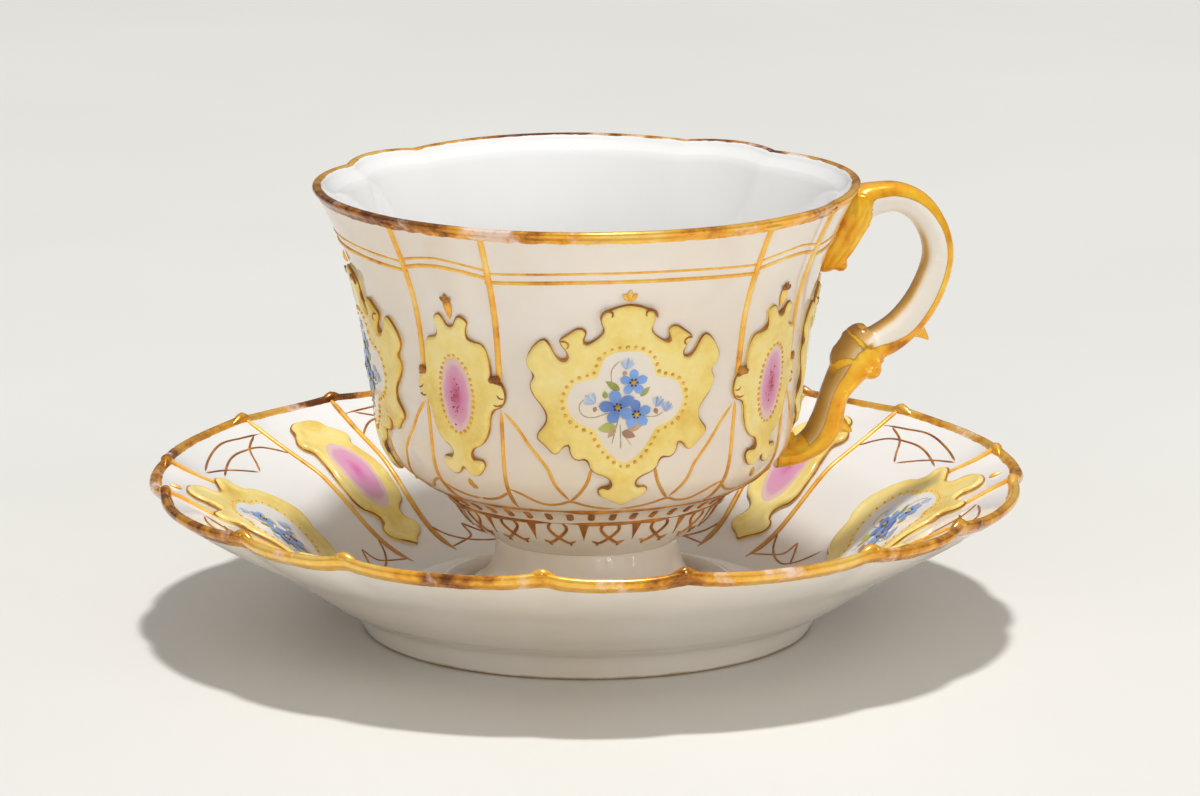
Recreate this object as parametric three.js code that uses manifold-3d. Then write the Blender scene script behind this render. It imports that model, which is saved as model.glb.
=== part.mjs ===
// A porcelain teacup on its saucer. The cup is a bowl of eight panels on a luted foot, with a
// scrolled handle; the saucer has sixteen panels, a foot ring and a raised ring that keeps the
// cup in place. Sixteen pressed cartouches are stuck on with slip, eight on each.
// Millimetres, +Z up. The saucer's axis is the Z axis, its foot stands on Z = 0 and the cup's
// handle points along +X.
import * as THREE from 'three';
import { mergeVertices } from 'three/addons/utils/BufferGeometryUtils.js';
import Module from 'manifold-3d';

const wasm = await Module();
wasm.setup();

// Clearance of a piece to what it stands on or is stuck to
const FIT = 0.3;

// Saucer
const SAUCER_RADIUS = 75.6;
const SAUCER_HEIGHT = 26.8;
const SAUCER_WALL = 3;
const SAUCER_FLOOR_HEIGHT = 5;
const SAUCER_FLOOR_RADIUS = 33;
const SAUCER_FLOOR_THICKNESS = 2.6;
const SAUCER_FOOT_RADIUS = 38.6;
const SAUCER_FOOT_WIDTH = 4;
const SAUCER_FOOT_FLARE = 2.4;
const SAUCER_RIM_NOTCH = 1.2;
const SAUCER_RIM_RISE = 0.9;
const SAUCER_PANEL_PAIRS = 8;
const SAUCER_NARROW_PANEL = 18;
const SAUCER_SHARPNESS = 3;
const SAUCER_TURN = -6.5;
const SAUCER_FLOWER_RIB_REACH = 11;
const SAUCER_OVAL_RIB_REACH = 39;
const SAUCER_PIP = 1;
const WELL_PLAY = 2.9;
const WELL_RING_WIDTH = 3.2;
const WELL_RING_HEIGHT = 2.4;

// Cup foot
const FOOT_RADIUS = 20.5;
const FOOT_EDGE = 1.8;
const FOOT_RING_WIDTH = 2.6;
const FOOT_HEIGHT = 10.4;
const FOOT_SWEEP = 1.6;
const FOOT_HOLLOW = 7.4;
const NECK_RADIUS = 15.8;

// Cup bowl: its section passes through these rings. Heights are taken from the foot's base, drops
// from the rim.
const CUP_HEIGHT = 72.7;
const CUP_WALL = 2.6;
const CUP_FLOOR_THICKNESS = 3.8;
const CUP_FLOOR_ROUND = 1;
const BORDER_FOOT_RADIUS = 20.8;
const BORDER_FOOT_HEIGHT = 14;
const BORDER_RADIUS = 24.7;
const BORDER_HEIGHT = 19;
const SHOULDER_RADIUS = 30.9;
const SHOULDER_HEIGHT = 22.9;
const BELLY_RADIUS = 34.8;
const BELLY_HEIGHT = 27.7;
const BODY_RADIUS = 36.4;
const BODY_HEIGHT = 36.2;
const WAIST_RADIUS = 38;
const WAIST_DROP = 25.4;
const THROAT_RADIUS = 39.8;
const THROAT_DROP = 16.5;
const FLARE_RADIUS = 43;
const FLARE_DROP = 8.2;
const RIM_RADIUS = 47.1;
const CUP_PANEL_PAIRS = 4;
const CUP_SMALL_PANEL = 24;
const CUP_RIB_NOTCH = 1.4;
const CUP_RIB_DIP = 0.4;
const CUP_SHARPNESS = 2;
const CUP_RIB_LENGTH = 27.4;

// Trailed ribs, which stand up in the grooves between the panels
const RIB_WIDTH = 1.2;
const RIB_HEIGHT = 0.7;

// Pressed cartouches: the middles of the cup's lie this high above the foot's base, and a gap is left
// between the saucer's and its rim
const RELIEF = 1.2;
const CUP_FLOWER_WIDTH = 32.2;
const CUP_FLOWER_LENGTH = 35.8;
const CUP_FLOWER_HEIGHT = 41.7;
const CUP_OVAL_WIDTH = 17.5;
const CUP_OVAL_LENGTH = 28.5;
const CUP_OVAL_HEIGHT = 42;
const SAUCER_FLOWER_WIDTH = 35.2;
const SAUCER_FLOWER_LENGTH = 30.6;
const SAUCER_FLOWER_RIM_GAP = 6.3;
const SAUCER_OVAL_WIDTH = 12.4;
const SAUCER_OVAL_LENGTH = 29;
const SAUCER_OVAL_RIM_GAP = 6.1;

// Handle: how far it stands out from the cup's axis, how far its top lies below the rim and how
// high its lower end is stuck on
const HANDLE_REACH = 65.3;
const HANDLE_DROP = 1.9;
const HANDLE_END_HEIGHT = 23.4;
const HANDLE_THICKNESS = 5.3;
const HANDLE_WIDTH = 5.6;
const SPUR_LENGTH = 3;
const SPUR_RADIUS = 1.6;
const LEAF_LENGTH = 11.5;
const LEAF_WIDTH = 9;
const LEAF_TIP_WIDTH = 3.2;
const LEAF_THICKNESS = 5.2;
const LEAF_TIP_THICKNESS = 3.4;

// Facets
const WIDE_STEPS = 6;
const NARROW_STEPS = 2;
const SAUCER_WIDE_STEPS = 4;
const CURVE_STEPS = 2;
const FOOT_STEPS = 6;
const FOOT_SIDES = 36;
const LEAF_STEPS = 5;
const HANDLE_SIDES = 10;
const SPUR_SIDES = 7;
const MERGE_DISTANCE = 1e-5;

const FOOT_BASE = SAUCER_FLOOR_HEIGHT + FIT;
const RIM_HEIGHT = FOOT_BASE + CUP_HEIGHT;
const NECK_TOP = FOOT_BASE + FOOT_HEIGHT;
const HANDLE_TOP = RIM_HEIGHT - HANDLE_DROP - HANDLE_THICKNESS / 2;
const HANDLE_END = FOOT_BASE + HANDLE_END_HEIGHT;
const LEAF_TIP = HANDLE_TOP - LEAF_LENGTH;
const WELL_RING_RADIUS = FOOT_RADIUS + WELL_PLAY + WELL_RING_WIDTH / 2;

const porcelain = { color: 0xf4efe6, roughness: 0.15, metalness: 0 };
const yellowGlaze = { color: 0xe9dc8c, roughness: 0.2, metalness: 0 };
const gilding = { color: 0xd59a34, roughness: 0.25, metalness: 0.9 };

// Places that the saucer's upper side passes, in shares of the way from the floor's edge to the rim,
// and the place among them where the panels begin
const SAUCER_CURVE = [
  [0, 0], [0.16, 0.07], [0.28, 0.19], [0.4, 0.37], [0.51, 0.55], [0.61, 0.675], [0.88, 0.91], [1, 1],
];
const SAUCER_PANELS_FROM = 5;

// Where the thorns stand on the handle, in its own shares, and how far each tilts down
const SPURS = [{ out: 0.9, up: 0.46, tilt: 40 }, { out: 0.45, up: 0.09, tilt: 20 }];

// Half outlines of the cartouches, from the crest down to the lowest scroll, in shares of half the
// width and half the height. The other half is the mirror image.
const FLOWER_OUTLINE = [
  [0, 1], [0.21, 0.95], [0.3, 0.87], [0.27, 0.74], [0.35, 0.66], [0.47, 0.61],
  [0.46, 0.72], [0.51, 0.76], [0.61, 0.7], [0.69, 0.59], [0.63, 0.5], [0.61, 0.41],
  [0.7, 0.4], [0.77, 0.51], [0.84, 0.62], [0.95, 0.54], [1, 0.4], [0.94, 0.28],
  [0.95, 0.18], [0.91, 0.06], [0.81, -0.05], [0.77, -0.16], [0.84, -0.32], [0.76, -0.42],
  [0.66, -0.46], [0.57, -0.44], [0.51, -0.52], [0.38, -0.54], [0.34, -0.61], [0.25, -0.67],
  [0.14, -0.73], [0.12, -0.8], [0.24, -0.83], [0.21, -0.89], [0.09, -0.95], [0, -1],
];
const OVAL_OUTLINE = [
  [0, 0.86], [0.15, 0.95], [0.23, 1], [0.37, 0.94], [0.34, 0.8], [0.37, 0.72],
  [0.56, 0.67], [0.7, 0.53], [0.74, 0.35], [0.79, 0.25], [0.94, 0.17], [1, 0.05],
  [0.9, -0.06], [0.74, -0.14], [0.65, -0.32], [0.56, -0.51], [0.41, -0.62], [0.27, -0.67],
  [0.22, -0.76], [0.39, -0.77], [0.45, -0.86], [0.33, -0.96], [0.18, -1], [0, -0.9],
];
const SAUCER_FLOWER_OUTLINE = [
  [0, 1], [0.19, 0.94], [0.26, 0.82], [0.25, 0.73], [0.4, 0.63], [0.55, 0.65],
  [0.72, 0.67], [0.78, 0.58], [0.74, 0.43], [0.83, 0.3], [0.89, 0.1], [0.98, -0.12],
  [1, -0.27], [0.91, -0.42], [0.81, -0.46], [0.76, -0.59], [0.64, -0.69], [0.49, -0.71],
  [0.36, -0.76], [0.25, -0.82], [0.2, -0.92], [0, -1],
];
const SAUCER_OVAL_OUTLINE = [
  [0, 1], [0.35, 0.97], [0.65, 0.87], [0.68, 0.79], [0.97, 0.65], [0.98, 0.54],
  [0.81, 0.47], [0.9, 0.25], [1, 0.06], [0.9, -0.16], [0.77, -0.37], [0.68, -0.51],
  [0.42, -0.6], [0.55, -0.7], [0.68, -0.81], [0.45, -0.92], [0, -1],
];

const point = (x, y) => new THREE.Vector2(x, y);
const radians = (degrees) => THREE.MathUtils.degToRad(degrees);

// Solids from closed geometry and back, for joins and cuts
function toSolid(geometry) {
  const bare = geometry.clone();
  bare.deleteAttribute('normal');
  bare.deleteAttribute('uv');
  const merged = mergeVertices(bare, MERGE_DISTANCE);
  return new wasm.Manifold(new wasm.Mesh({
    numProp: 3,
    vertProperties: Float32Array.from(merged.attributes.position.array),
    triVerts: Uint32Array.from(merged.index.array),
  }));
}

function toGeometry(solid) {
  const mesh = solid.getMesh();
  return indexedGeometry(mesh.vertProperties, mesh.triVerts);
}

function indexedGeometry(positions, triangles) {
  const geometry = new THREE.BufferGeometry();
  geometry.setAttribute('position', new THREE.BufferAttribute(Float32Array.from(positions), 3));
  geometry.setIndex(Array.from(triangles));
  geometry.computeVertexNormals();
  return geometry;
}

// The angles of a ring of alternating wide and narrow panels, with a wide panel's middle at zero.
// dip is 0 in the middle of a panel and 1 in the groove between two panels, where a rib stands. rib is
// the number of the narrow panel that the rib belongs to, and undefined off the ribs.
function panelColumns(pairs, narrow, wideSteps, narrowSteps, sharpness, radius) {
  const pitch = 360 / pairs;
  const ribHalf = THREE.MathUtils.radToDeg(RIB_WIDTH / 2 / radius);
  const columns = [];
  const addPanel = (middle, span, steps, ribBefore) => {
    const add = (across, rib) => columns.push({
      angle: radians(middle + (across * span) / 2), dip: Math.abs(across) ** sharpness, rib,
    });
    const edge = 1 - (2 * ribHalf) / span;
    add(-1, ribBefore);
    add(-edge);
    for (let i = 1; i < steps; i += 1) add((2 * i) / steps - 1);
    add(edge);
  };
  for (let pair = 0; pair < pairs; pair += 1) {
    addPanel(pair * pitch, pitch - narrow, wideSteps, (pair + pairs - 1) % pairs);
    addPanel((pair + 0.5) * pitch, narrow, narrowSteps, pair);
  }
  return columns;
}

// The columns of such a ring that cover a reach to both sides of one angle, which becomes zero
function columnsAround(columns, middle, reach) {
  const near = columns.map((column) => ({
    ...column,
    angle: THREE.MathUtils.euclideanModulo(column.angle - middle + Math.PI, 2 * Math.PI) - Math.PI,
  })).sort((a, b) => a.angle - b.angle);
  const first = near.findLastIndex(({ angle }) => angle < -reach);
  const last = near.findIndex(({ angle }) => angle > reach);
  return near.slice(first, last + 1);
}

// A point of a ring. The ring follows the panels by its lobe: 0 is a plain circle, 1 has the full
// notch and rise in the grooves. ribs gives the height of a rib of each narrow panel on this ring.
function ringPoint({ r, z, lobe, ribs }, { angle, dip, rib }, { notch, rise, ribOut, ribUp }) {
  const height = ribs && rib !== undefined ? ribs(rib) : 0;
  const radius = r - notch * lobe * dip + ribOut * height;
  return [radius * Math.cos(angle), radius * Math.sin(angle), z + rise * lobe * dip + ribUp * height];
}

// A closed body of rings, from a point on the axis to a point on the axis
function lobedBody(columns, rings, rib) {
  const positions = [0, 0, rings[0].z];
  const triangles = [];
  const inner = rings.slice(1, -1);
  inner.forEach((ring) => columns.forEach((column) => positions.push(...ringPoint(ring, column, rib))));
  const last = positions.length / 3;
  positions.push(0, 0, rings.at(-1).z);
  const count = columns.length;
  const vertex = (ring, column) => 1 + ring * count + (column % count);
  for (let column = 0; column < count; column += 1) {
    triangles.push(0, vertex(0, column), vertex(0, column + 1));
    for (let ring = 0; ring < inner.length - 1; ring += 1) {
      triangles.push(vertex(ring, column), vertex(ring + 1, column), vertex(ring, column + 1));
      triangles.push(vertex(ring + 1, column), vertex(ring + 1, column + 1), vertex(ring, column + 1));
    }
    triangles.push(vertex(inner.length - 1, column), last, vertex(inner.length - 1, column + 1));
  }
  return indexedGeometry(positions, triangles);
}

// Points of a smooth curve through the given ones, and the points that stand for the given ones alone
function smoothCurve(through) {
  return new THREE.SplineCurve(through).getPoints(CURVE_STEPS * (through.length - 1));
}

const givenOnly = (curve) => curve.filter((_, i) => i % CURVE_STEPS === 0);

// A section's points moved square to it, to the left of its run
function offsetSection(points, distance) {
  return points.map((here, i) => {
    const before = points[Math.max(i - 1, 0)];
    const after = points[Math.min(i + 1, points.length - 1)];
    const along = after.clone().sub(before).normalize();
    return point(here.x - along.y * distance, here.y + along.x * distance);
  });
}

// A section's height at a radius, or with the axes swapped its radius at a height
function readSection(points, value, from, to) {
  const last = points.length - 1;
  const found = points.findIndex((p, i) => i < last && value <= points[i + 1][from]);
  const i = found < 0 ? last - 1 : found;
  const share = (value - points[i][from]) / (points[i + 1][from] - points[i][from]);
  return THREE.MathUtils.lerp(points[i][to], points[i + 1][to], share);
}

// A closed plate that covers some columns of a lobed body, between lower and upper rings
function plate(columns, lowerRings, upperRings, rib) {
  const width = columns.length;
  const last = lowerRings.length - 1;
  const layer = width * lowerRings.length;
  const positions = [...lowerRings, ...upperRings].flatMap((ring) => columns.flatMap((column) => (
    ringPoint(ring, column, rib)
  )));
  const triangles = [];
  const quad = (a, b, c, d) => triangles.push(a, b, c, a, c, d);
  const edge = [];
  for (let row = 0; row < last; row += 1) {
    for (let column = 0; column < width - 1; column += 1) {
      const a = row * width + column;
      quad(a, a + width, a + width + 1, a + 1);
      quad(layer + a, layer + a + 1, layer + a + width + 1, layer + a + width);
    }
  }
  for (let column = 0; column < width - 1; column += 1) edge.push(column);
  for (let row = 0; row < last; row += 1) edge.push((row + 1) * width - 1);
  for (let column = width - 1; column > 0; column -= 1) edge.push(last * width + column);
  for (let row = last; row > 0; row -= 1) edge.push(row * width);
  edge.forEach((a, i) => {
    const b = edge[(i + 1) % edge.length];
    quad(a, b, layer + b, layer + a);
  });
  return indexedGeometry(positions, triangles);
}

const steps = (from, to, count) => Array.from(
  { length: count + 1 },
  (_, i) => THREE.MathUtils.lerp(from, to, i / count),
);

// A cartouche's full outline at its size, drawn around its middle
function cartoucheShape(halfOutline, width, length) {
  const right = halfOutline.map(([x, y]) => point((x * width) / 2, (y * length) / 2));
  const left = right.slice(1, -1).reverse().map((p) => point(-p.x, p.y));
  return new THREE.Shape([...right, ...left]);
}

// Saucer section: upper side from the floor's edge to the rim, and its lower side
function saucerPlace([out, up]) {
  return point(
    THREE.MathUtils.lerp(SAUCER_FLOOR_RADIUS, SAUCER_RADIUS, out),
    THREE.MathUtils.lerp(SAUCER_FLOOR_HEIGHT, SAUCER_HEIGHT, up),
  );
}

const saucerUpper = smoothCurve(SAUCER_CURVE.map(saucerPlace));
const saucerLower = offsetSection(saucerUpper, -SAUCER_WALL);
const saucerRib = { notch: SAUCER_RIM_NOTCH, rise: SAUCER_RIM_RISE, ribOut: 0, ribUp: 1 };
const saucerColumns = panelColumns(
  SAUCER_PANEL_PAIRS, SAUCER_NARROW_PANEL, SAUCER_WIDE_STEPS, NARROW_STEPS, SAUCER_SHARPNESS,
  saucerPlace(SAUCER_CURVE[SAUCER_PANELS_FROM]).x,
);

// The panels show on the saucer's border and are fullest at the rim
function saucerLobe(r) {
  const border = saucerPlace(SAUCER_CURVE[SAUCER_PANELS_FROM]).x;
  const share = (r - border) / (SAUCER_RADIUS - border);
  return THREE.MathUtils.clamp(share, 0, 1) ** 2;
}

// Ribs run in from the rim: long ones beside the oval cartouches, on the even narrow panels, and
// short ones beside the flower cartouches
function saucerRibs(r) {
  const inwards = SAUCER_RADIUS - r;
  return (panel) => {
    const reach = panel % 2 === 0 ? SAUCER_OVAL_RIB_REACH : SAUCER_FLOWER_RIB_REACH;
    return inwards < reach ? RIB_HEIGHT : 0;
  };
}

function saucerBody() {
  const ring = (r, z) => ({ r, z, lobe: saucerLobe(r) });
  const ribbed = (r, z) => ({ ...ring(r, z), ribs: saucerRibs(r) });
  const floor = SAUCER_FLOOR_HEIGHT;
  const ringTop = floor + WELL_RING_HEIGHT;
  const recess = floor - SAUCER_FLOOR_THICKNESS;
  const footTop = SAUCER_FOOT_RADIUS + SAUCER_FOOT_FLARE;
  const rimUpper = saucerUpper.at(-1);
  const rimLower = saucerLower.at(-1);
  const under = givenOnly(saucerLower).filter((p) => p.x > footTop && p.x < rimLower.x);
  return lobedBody(saucerColumns, [
    ring(0, floor),
    ring(WELL_RING_RADIUS - WELL_RING_WIDTH / 2, floor),
    ring(WELL_RING_RADIUS - WELL_RING_WIDTH / 4, ringTop),
    ring(WELL_RING_RADIUS + WELL_RING_WIDTH / 4, ringTop),
    ring(WELL_RING_RADIUS + WELL_RING_WIDTH / 2, floor),
    ...saucerUpper.slice(0, -1).map((p) => ribbed(p.x, p.y)),
    { r: rimUpper.x - SAUCER_WALL / 3, z: rimUpper.y, lobe: 1, ribs: () => SAUCER_PIP },
    { r: rimUpper.x, z: rimUpper.y - SAUCER_WALL / 3, lobe: 1 },
    { r: rimUpper.x - SAUCER_WALL / 6, z: rimUpper.y - (2 * SAUCER_WALL) / 3, lobe: 1 },
    ...under.reverse().map((p) => ring(p.x, p.y)),
    ring(footTop, readSection(saucerLower, footTop, 'x', 'y')),
    ring(SAUCER_FOOT_RADIUS, 0),
    ring(SAUCER_FOOT_RADIUS - SAUCER_FOOT_WIDTH, 0),
    ring(SAUCER_FOOT_RADIUS - SAUCER_FOOT_WIDTH, recess),
    ring(0, recess),
  ], saucerRib);
}

// A cartouche lying on the saucer along +X. panel is the number of its narrow panel.
function saucerCartouche(outline, width, length, rimGap, panel) {
  const middle = SAUCER_RADIUS - rimGap - length / 2;
  const reach = Math.atan2(width / 2, middle - length / 2);
  const panelAngle = ((panel + 0.5) * 2 * Math.PI) / SAUCER_PANEL_PAIRS;
  const columns = columnsAround(saucerColumns, panelAngle, reach);
  const rings = (offset) => offsetSection(saucerUpper, offset).map((p, i) => {
    const r = saucerUpper[i].x;
    return { r: p.x, z: p.y, lobe: saucerLobe(r), ribs: saucerRibs(r) };
  }).reverse();
  const shell = plate(columns, rings(FIT), rings(FIT + RELIEF), saucerRib);
  const prism = new THREE.ExtrudeGeometry(cartoucheShape(outline, width, length), {
    depth: SAUCER_HEIGHT * 2, bevelEnabled: false,
  });
  prism.rotateZ(-Math.PI / 2);
  prism.translate(middle, 0, -SAUCER_HEIGHT / 2);
  return toSolid(shell).intersect(toSolid(prism));
}

// Bowl section, outside, from the neck to the rim
const bowlOuter = smoothCurve([
  point(NECK_RADIUS, NECK_TOP),
  point(BORDER_FOOT_RADIUS, FOOT_BASE + BORDER_FOOT_HEIGHT),
  point(BORDER_RADIUS, FOOT_BASE + BORDER_HEIGHT),
  point(SHOULDER_RADIUS, FOOT_BASE + SHOULDER_HEIGHT),
  point(BELLY_RADIUS, FOOT_BASE + BELLY_HEIGHT),
  point(BODY_RADIUS, FOOT_BASE + BODY_HEIGHT),
  point(WAIST_RADIUS, RIM_HEIGHT - WAIST_DROP),
  point(THROAT_RADIUS, RIM_HEIGHT - THROAT_DROP),
  point(FLARE_RADIUS, RIM_HEIGHT - FLARE_DROP),
  point(RIM_RADIUS, RIM_HEIGHT),
]);
const bowlRib = { notch: CUP_RIB_NOTCH, rise: -CUP_RIB_DIP, ribOut: 1, ribUp: 0 };
const bowlColumns = panelColumns(
  CUP_PANEL_PAIRS, CUP_SMALL_PANEL, WIDE_STEPS, NARROW_STEPS, CUP_SHARPNESS, WAIST_RADIUS,
);

// The panels show from the shoulder up and are fullest at the rim
function bowlLobe(z) {
  const shoulder = FOOT_BASE + SHOULDER_HEIGHT;
  return THREE.MathUtils.clamp((z - shoulder) / (RIM_HEIGHT - shoulder), 0, 1);
}

// Ribs hang down from the rim to the small cartouches
function bowlRibs(z) {
  return () => (RIM_HEIGHT - z < CUP_RIB_LENGTH ? RIB_HEIGHT : 0);
}

// Rings of the bowl's outside, moved outwards by a clearance, from the neck up
function bowlRings(clearance) {
  return offsetSection(bowlOuter, -clearance).map((p, i) => {
    const { y } = bowlOuter[i];
    return { r: p.x, z: p.y, lobe: bowlLobe(y), ribs: bowlRibs(y) };
  });
}

function bowlBody() {
  const ring = (p) => ({ r: p.x, z: p.y, lobe: bowlLobe(p.y) });
  const floor = NECK_TOP + CUP_FLOOR_THICKNESS;
  const lowest = floor + CUP_FLOOR_ROUND;
  const inner = givenOnly(offsetSection(bowlOuter, CUP_WALL))
    .filter((p) => p.y > lowest && p.y < RIM_HEIGHT);
  const lip = CUP_WALL / 3;
  return lobedBody(bowlColumns, [
    { r: 0, z: floor },
    { r: inner[0].x / 2, z: floor, lobe: 0 },
    ...inner.map(ring),
    { r: RIM_RADIUS - 2 * lip, z: RIM_HEIGHT, lobe: 1 },
    { r: RIM_RADIUS - lip, z: RIM_HEIGHT, lobe: 1 },
    { r: RIM_RADIUS, z: RIM_HEIGHT - lip, lobe: 1 },
    ...bowlRings(0).slice(0, -1).reverse(),
    { r: 0, z: NECK_TOP },
  ], bowlRib);
}

// The bowl's outside as one solid, grown by a clearance, for cutting what sits against it
function bowlEnvelope(clearance) {
  return toSolid(lobedBody(bowlColumns, [
    { r: 0, z: RIM_HEIGHT + clearance },
    { r: RIM_RADIUS + clearance, z: RIM_HEIGHT + clearance, lobe: 1 },
    ...bowlRings(clearance).slice(0, -1).reverse(),
    { r: 0, z: NECK_TOP },
  ], bowlRib));
}

function footBody() {
  const edgeTop = FOOT_BASE + FOOT_EDGE;
  const flare = new THREE.QuadraticBezierCurve(
    point(FOOT_RADIUS, edgeTop),
    point(NECK_RADIUS, edgeTop + FOOT_SWEEP),
    point(NECK_RADIUS, NECK_TOP),
  ).getPoints(FOOT_STEPS);
  const hollow = FOOT_BASE + FOOT_HOLLOW;
  const inside = FOOT_RADIUS - FOOT_RING_WIDTH;
  const turned = new THREE.LatheGeometry([
    point(0, hollow),
    point(NECK_RADIUS - FOOT_RING_WIDTH, hollow),
    point(inside, FOOT_BASE),
    point(FOOT_RADIUS, FOOT_BASE),
    ...flare,
    point(0, NECK_TOP),
  ], FOOT_SIDES);
  turned.rotateX(Math.PI / 2);
  return turned;
}

// A cartouche standing on the panel of the bowl that faces +X. panelAngle is the place of its
// panel among the columns.
function cupCartouche(outline, width, length, height, panelAngle) {
  const reach = Math.asin(width / 2 / SHOULDER_RADIUS);
  const columns = columnsAround(bowlColumns, panelAngle, reach);
  const shell = plate(columns, bowlRings(FIT), bowlRings(FIT + RELIEF), bowlRib);
  const prism = new THREE.ExtrudeGeometry(cartoucheShape(outline, width, length), {
    depth: RIM_RADIUS, bevelEnabled: false,
  });
  prism.rotateX(Math.PI / 2);
  prism.rotateZ(Math.PI / 2);
  prism.translate(NECK_RADIUS, 0, FOOT_BASE + height);
  return toSolid(shell).intersect(toSolid(prism));
}

// A body swept through oval sections in the plane of the handle
function sweptBody(sections, sides) {
  const positions = [];
  const triangles = [];
  const last = sections.length - 1;
  sections.forEach(({ at, thick, wide }, i) => {
    const before = sections[Math.max(i - 1, 0)].at;
    const after = sections[Math.min(i + 1, last)].at;
    const along = after.clone().sub(before).normalize();
    for (let side = 0; side < sides; side += 1) {
      const turn = (2 * Math.PI * side) / sides;
      const out = (Math.cos(turn) * thick) / 2;
      positions.push(at.x - along.y * out, (Math.sin(turn) * wide) / 2, at.y + along.x * out);
    }
  });
  const start = positions.length / 3;
  positions.push(sections[0].at.x, 0, sections[0].at.y, sections[last].at.x, 0, sections[last].at.y);
  for (let side = 0; side < sides; side += 1) {
    const next = (side + 1) % sides;
    triangles.push(start, side, next);
    triangles.push(start + 1, last * sides + next, last * sides + side);
    for (let i = 0; i < last; i += 1) {
      const a = i * sides + side;
      const b = i * sides + next;
      triangles.push(a, a + sides, b, b, a + sides, b + sides);
    }
  }
  return indexedGeometry(positions, triangles);
}

// The handle rises from the wall under the rim, turns down in a loop, passes a knob and swings
// back to the foot of the wall. Places in its plane are shares of the way from the wall out to its
// reach and from its lower end up to its top.
function handlePoint(out, up) {
  const near = readSection(bowlOuter, HANDLE_END, 'y', 'x');
  const far = HANDLE_REACH - HANDLE_THICKNESS / 2;
  return point(
    THREE.MathUtils.lerp(near, far, out),
    THREE.MathUtils.lerp(HANDLE_END, HANDLE_TOP, up),
  );
}

function handleSections() {
  const section = (out, up, thick = 1, wide = 1) => ({
    at: handlePoint(out, up), thick: thick * HANDLE_THICKNESS, wide: wide * HANDLE_WIDTH,
  });
  const through = [
    section(0.45, 0.95, 1.15, 1.5),
    section(0.56, 0.98, 1.1, 1.25),
    section(0.65, 1),
    section(0.76, 1),
    section(0.87, 0.965),
    section(0.955, 0.895),
    section(1, 0.8),
    section(0.98, 0.7),
    section(0.92, 0.61, 1.05),
    section(0.84, 0.53, 1.05),
    section(0.73, 0.465, 1, 1.1),
    section(0.615, 0.425, 1.05, 1.2),
    section(0.53, 0.37, 1.55, 1.5),
    section(0.445, 0.295, 1.15, 1.3),
    section(0.39, 0.21, 1, 1.1),
    section(0.36, 0.125, 1.1, 1.1),
    section(0.305, 0.055, 1.05, 1.15),
    section(0.2, 0.015, 0.85, 1.25),
    section(0.1, 0, 0.85, 1.4),
    section(-0.04, 0, 0.95, 1.5),
  ];
  const path = new THREE.SplineCurve(through.map((s) => s.at));
  const sizes = new THREE.SplineCurve(through.map((s) => point(s.thick, s.wide)));
  return steps(0, 1, 2 * (through.length - 1)).map((share) => {
    const size = sizes.getPoint(share);
    return { at: path.getPoint(share), thick: size.x, wide: size.y };
  });
}

// A thorn on the outer side of the handle, pointing out and down
function spur({ out, up, tilt }) {
  const at = handlePoint(out, up);
  const cone = new THREE.ConeGeometry(SPUR_RADIUS, SPUR_LENGTH, SPUR_SIDES);
  cone.rotateX(Math.PI / 2);
  cone.rotateY(radians(90 + tilt));
  cone.translate(at.x, 0, at.y);
  return toSolid(cone);
}

// The leaf that lies down the wall from the handle's upper end
function leafSections() {
  return steps(0, 1, LEAF_STEPS).map((share) => {
    const z = THREE.MathUtils.lerp(HANDLE_TOP, LEAF_TIP, share);
    return {
      at: point(readSection(bowlOuter, z, 'y', 'x') + FIT, z),
      thick: 2 * THREE.MathUtils.lerp(LEAF_THICKNESS, LEAF_TIP_THICKNESS, share),
      wide: THREE.MathUtils.lerp(LEAF_WIDTH, LEAF_TIP_WIDTH, share * share),
    };
  });
}

// All of the cup between two heights
function layer(low, high) {
  const box = new THREE.BoxGeometry(2 * HANDLE_REACH, 2 * HANDLE_REACH, high - low);
  box.translate(0, 0, (low + high) / 2);
  return toSolid(box);
}

function handleBody() {
  const loop = toSolid(sweptBody(handleSections(), HANDLE_SIDES));
  const leaf = toSolid(sweptBody(leafSections(), HANDLE_SIDES)).intersect(layer(LEAF_TIP, RIM_HEIGHT));
  const whole = SPURS.reduce((handle, place) => handle.add(spur(place)), loop.add(leaf));
  return whole.subtract(bowlEnvelope(FIT));
}

const cupAndSaucer = new THREE.Group();

function addPiece(name, geometry, finish, turn = 0) {
  const piece = new THREE.Mesh(geometry, new THREE.MeshStandardMaterial(finish));
  piece.name = name;
  piece.rotation.z = radians(turn);
  cupAndSaucer.add(piece);
  return piece;
}

// A wide saucer panel lies between two narrow ones, so the ring is turned by half a pitch to
// bring a narrow panel, with its cartouche, to the handle's side
const SAUCER_PITCH = 360 / SAUCER_PANEL_PAIRS;
addPiece('saucer_body', saucerBody(), porcelain, SAUCER_TURN + SAUCER_PITCH / 2);
const saucerFlower = toGeometry(saucerCartouche(
  SAUCER_FLOWER_OUTLINE, SAUCER_FLOWER_WIDTH, SAUCER_FLOWER_LENGTH, SAUCER_FLOWER_RIM_GAP, 1,
));
const saucerOval = toGeometry(saucerCartouche(
  SAUCER_OVAL_OUTLINE, SAUCER_OVAL_WIDTH, SAUCER_OVAL_LENGTH, SAUCER_OVAL_RIM_GAP, 0,
));
['right', 'back', 'left', 'front'].forEach((side, i) => {
  addPiece(`saucer_flower_cartouche_${side}`, saucerFlower, yellowGlaze, SAUCER_TURN + i * 90);
});
['back_right', 'back_left', 'front_left', 'front_right'].forEach((corner, i) => {
  addPiece(`saucer_oval_cartouche_${corner}`, saucerOval, yellowGlaze, SAUCER_TURN + 45 + i * 90);
});

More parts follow.
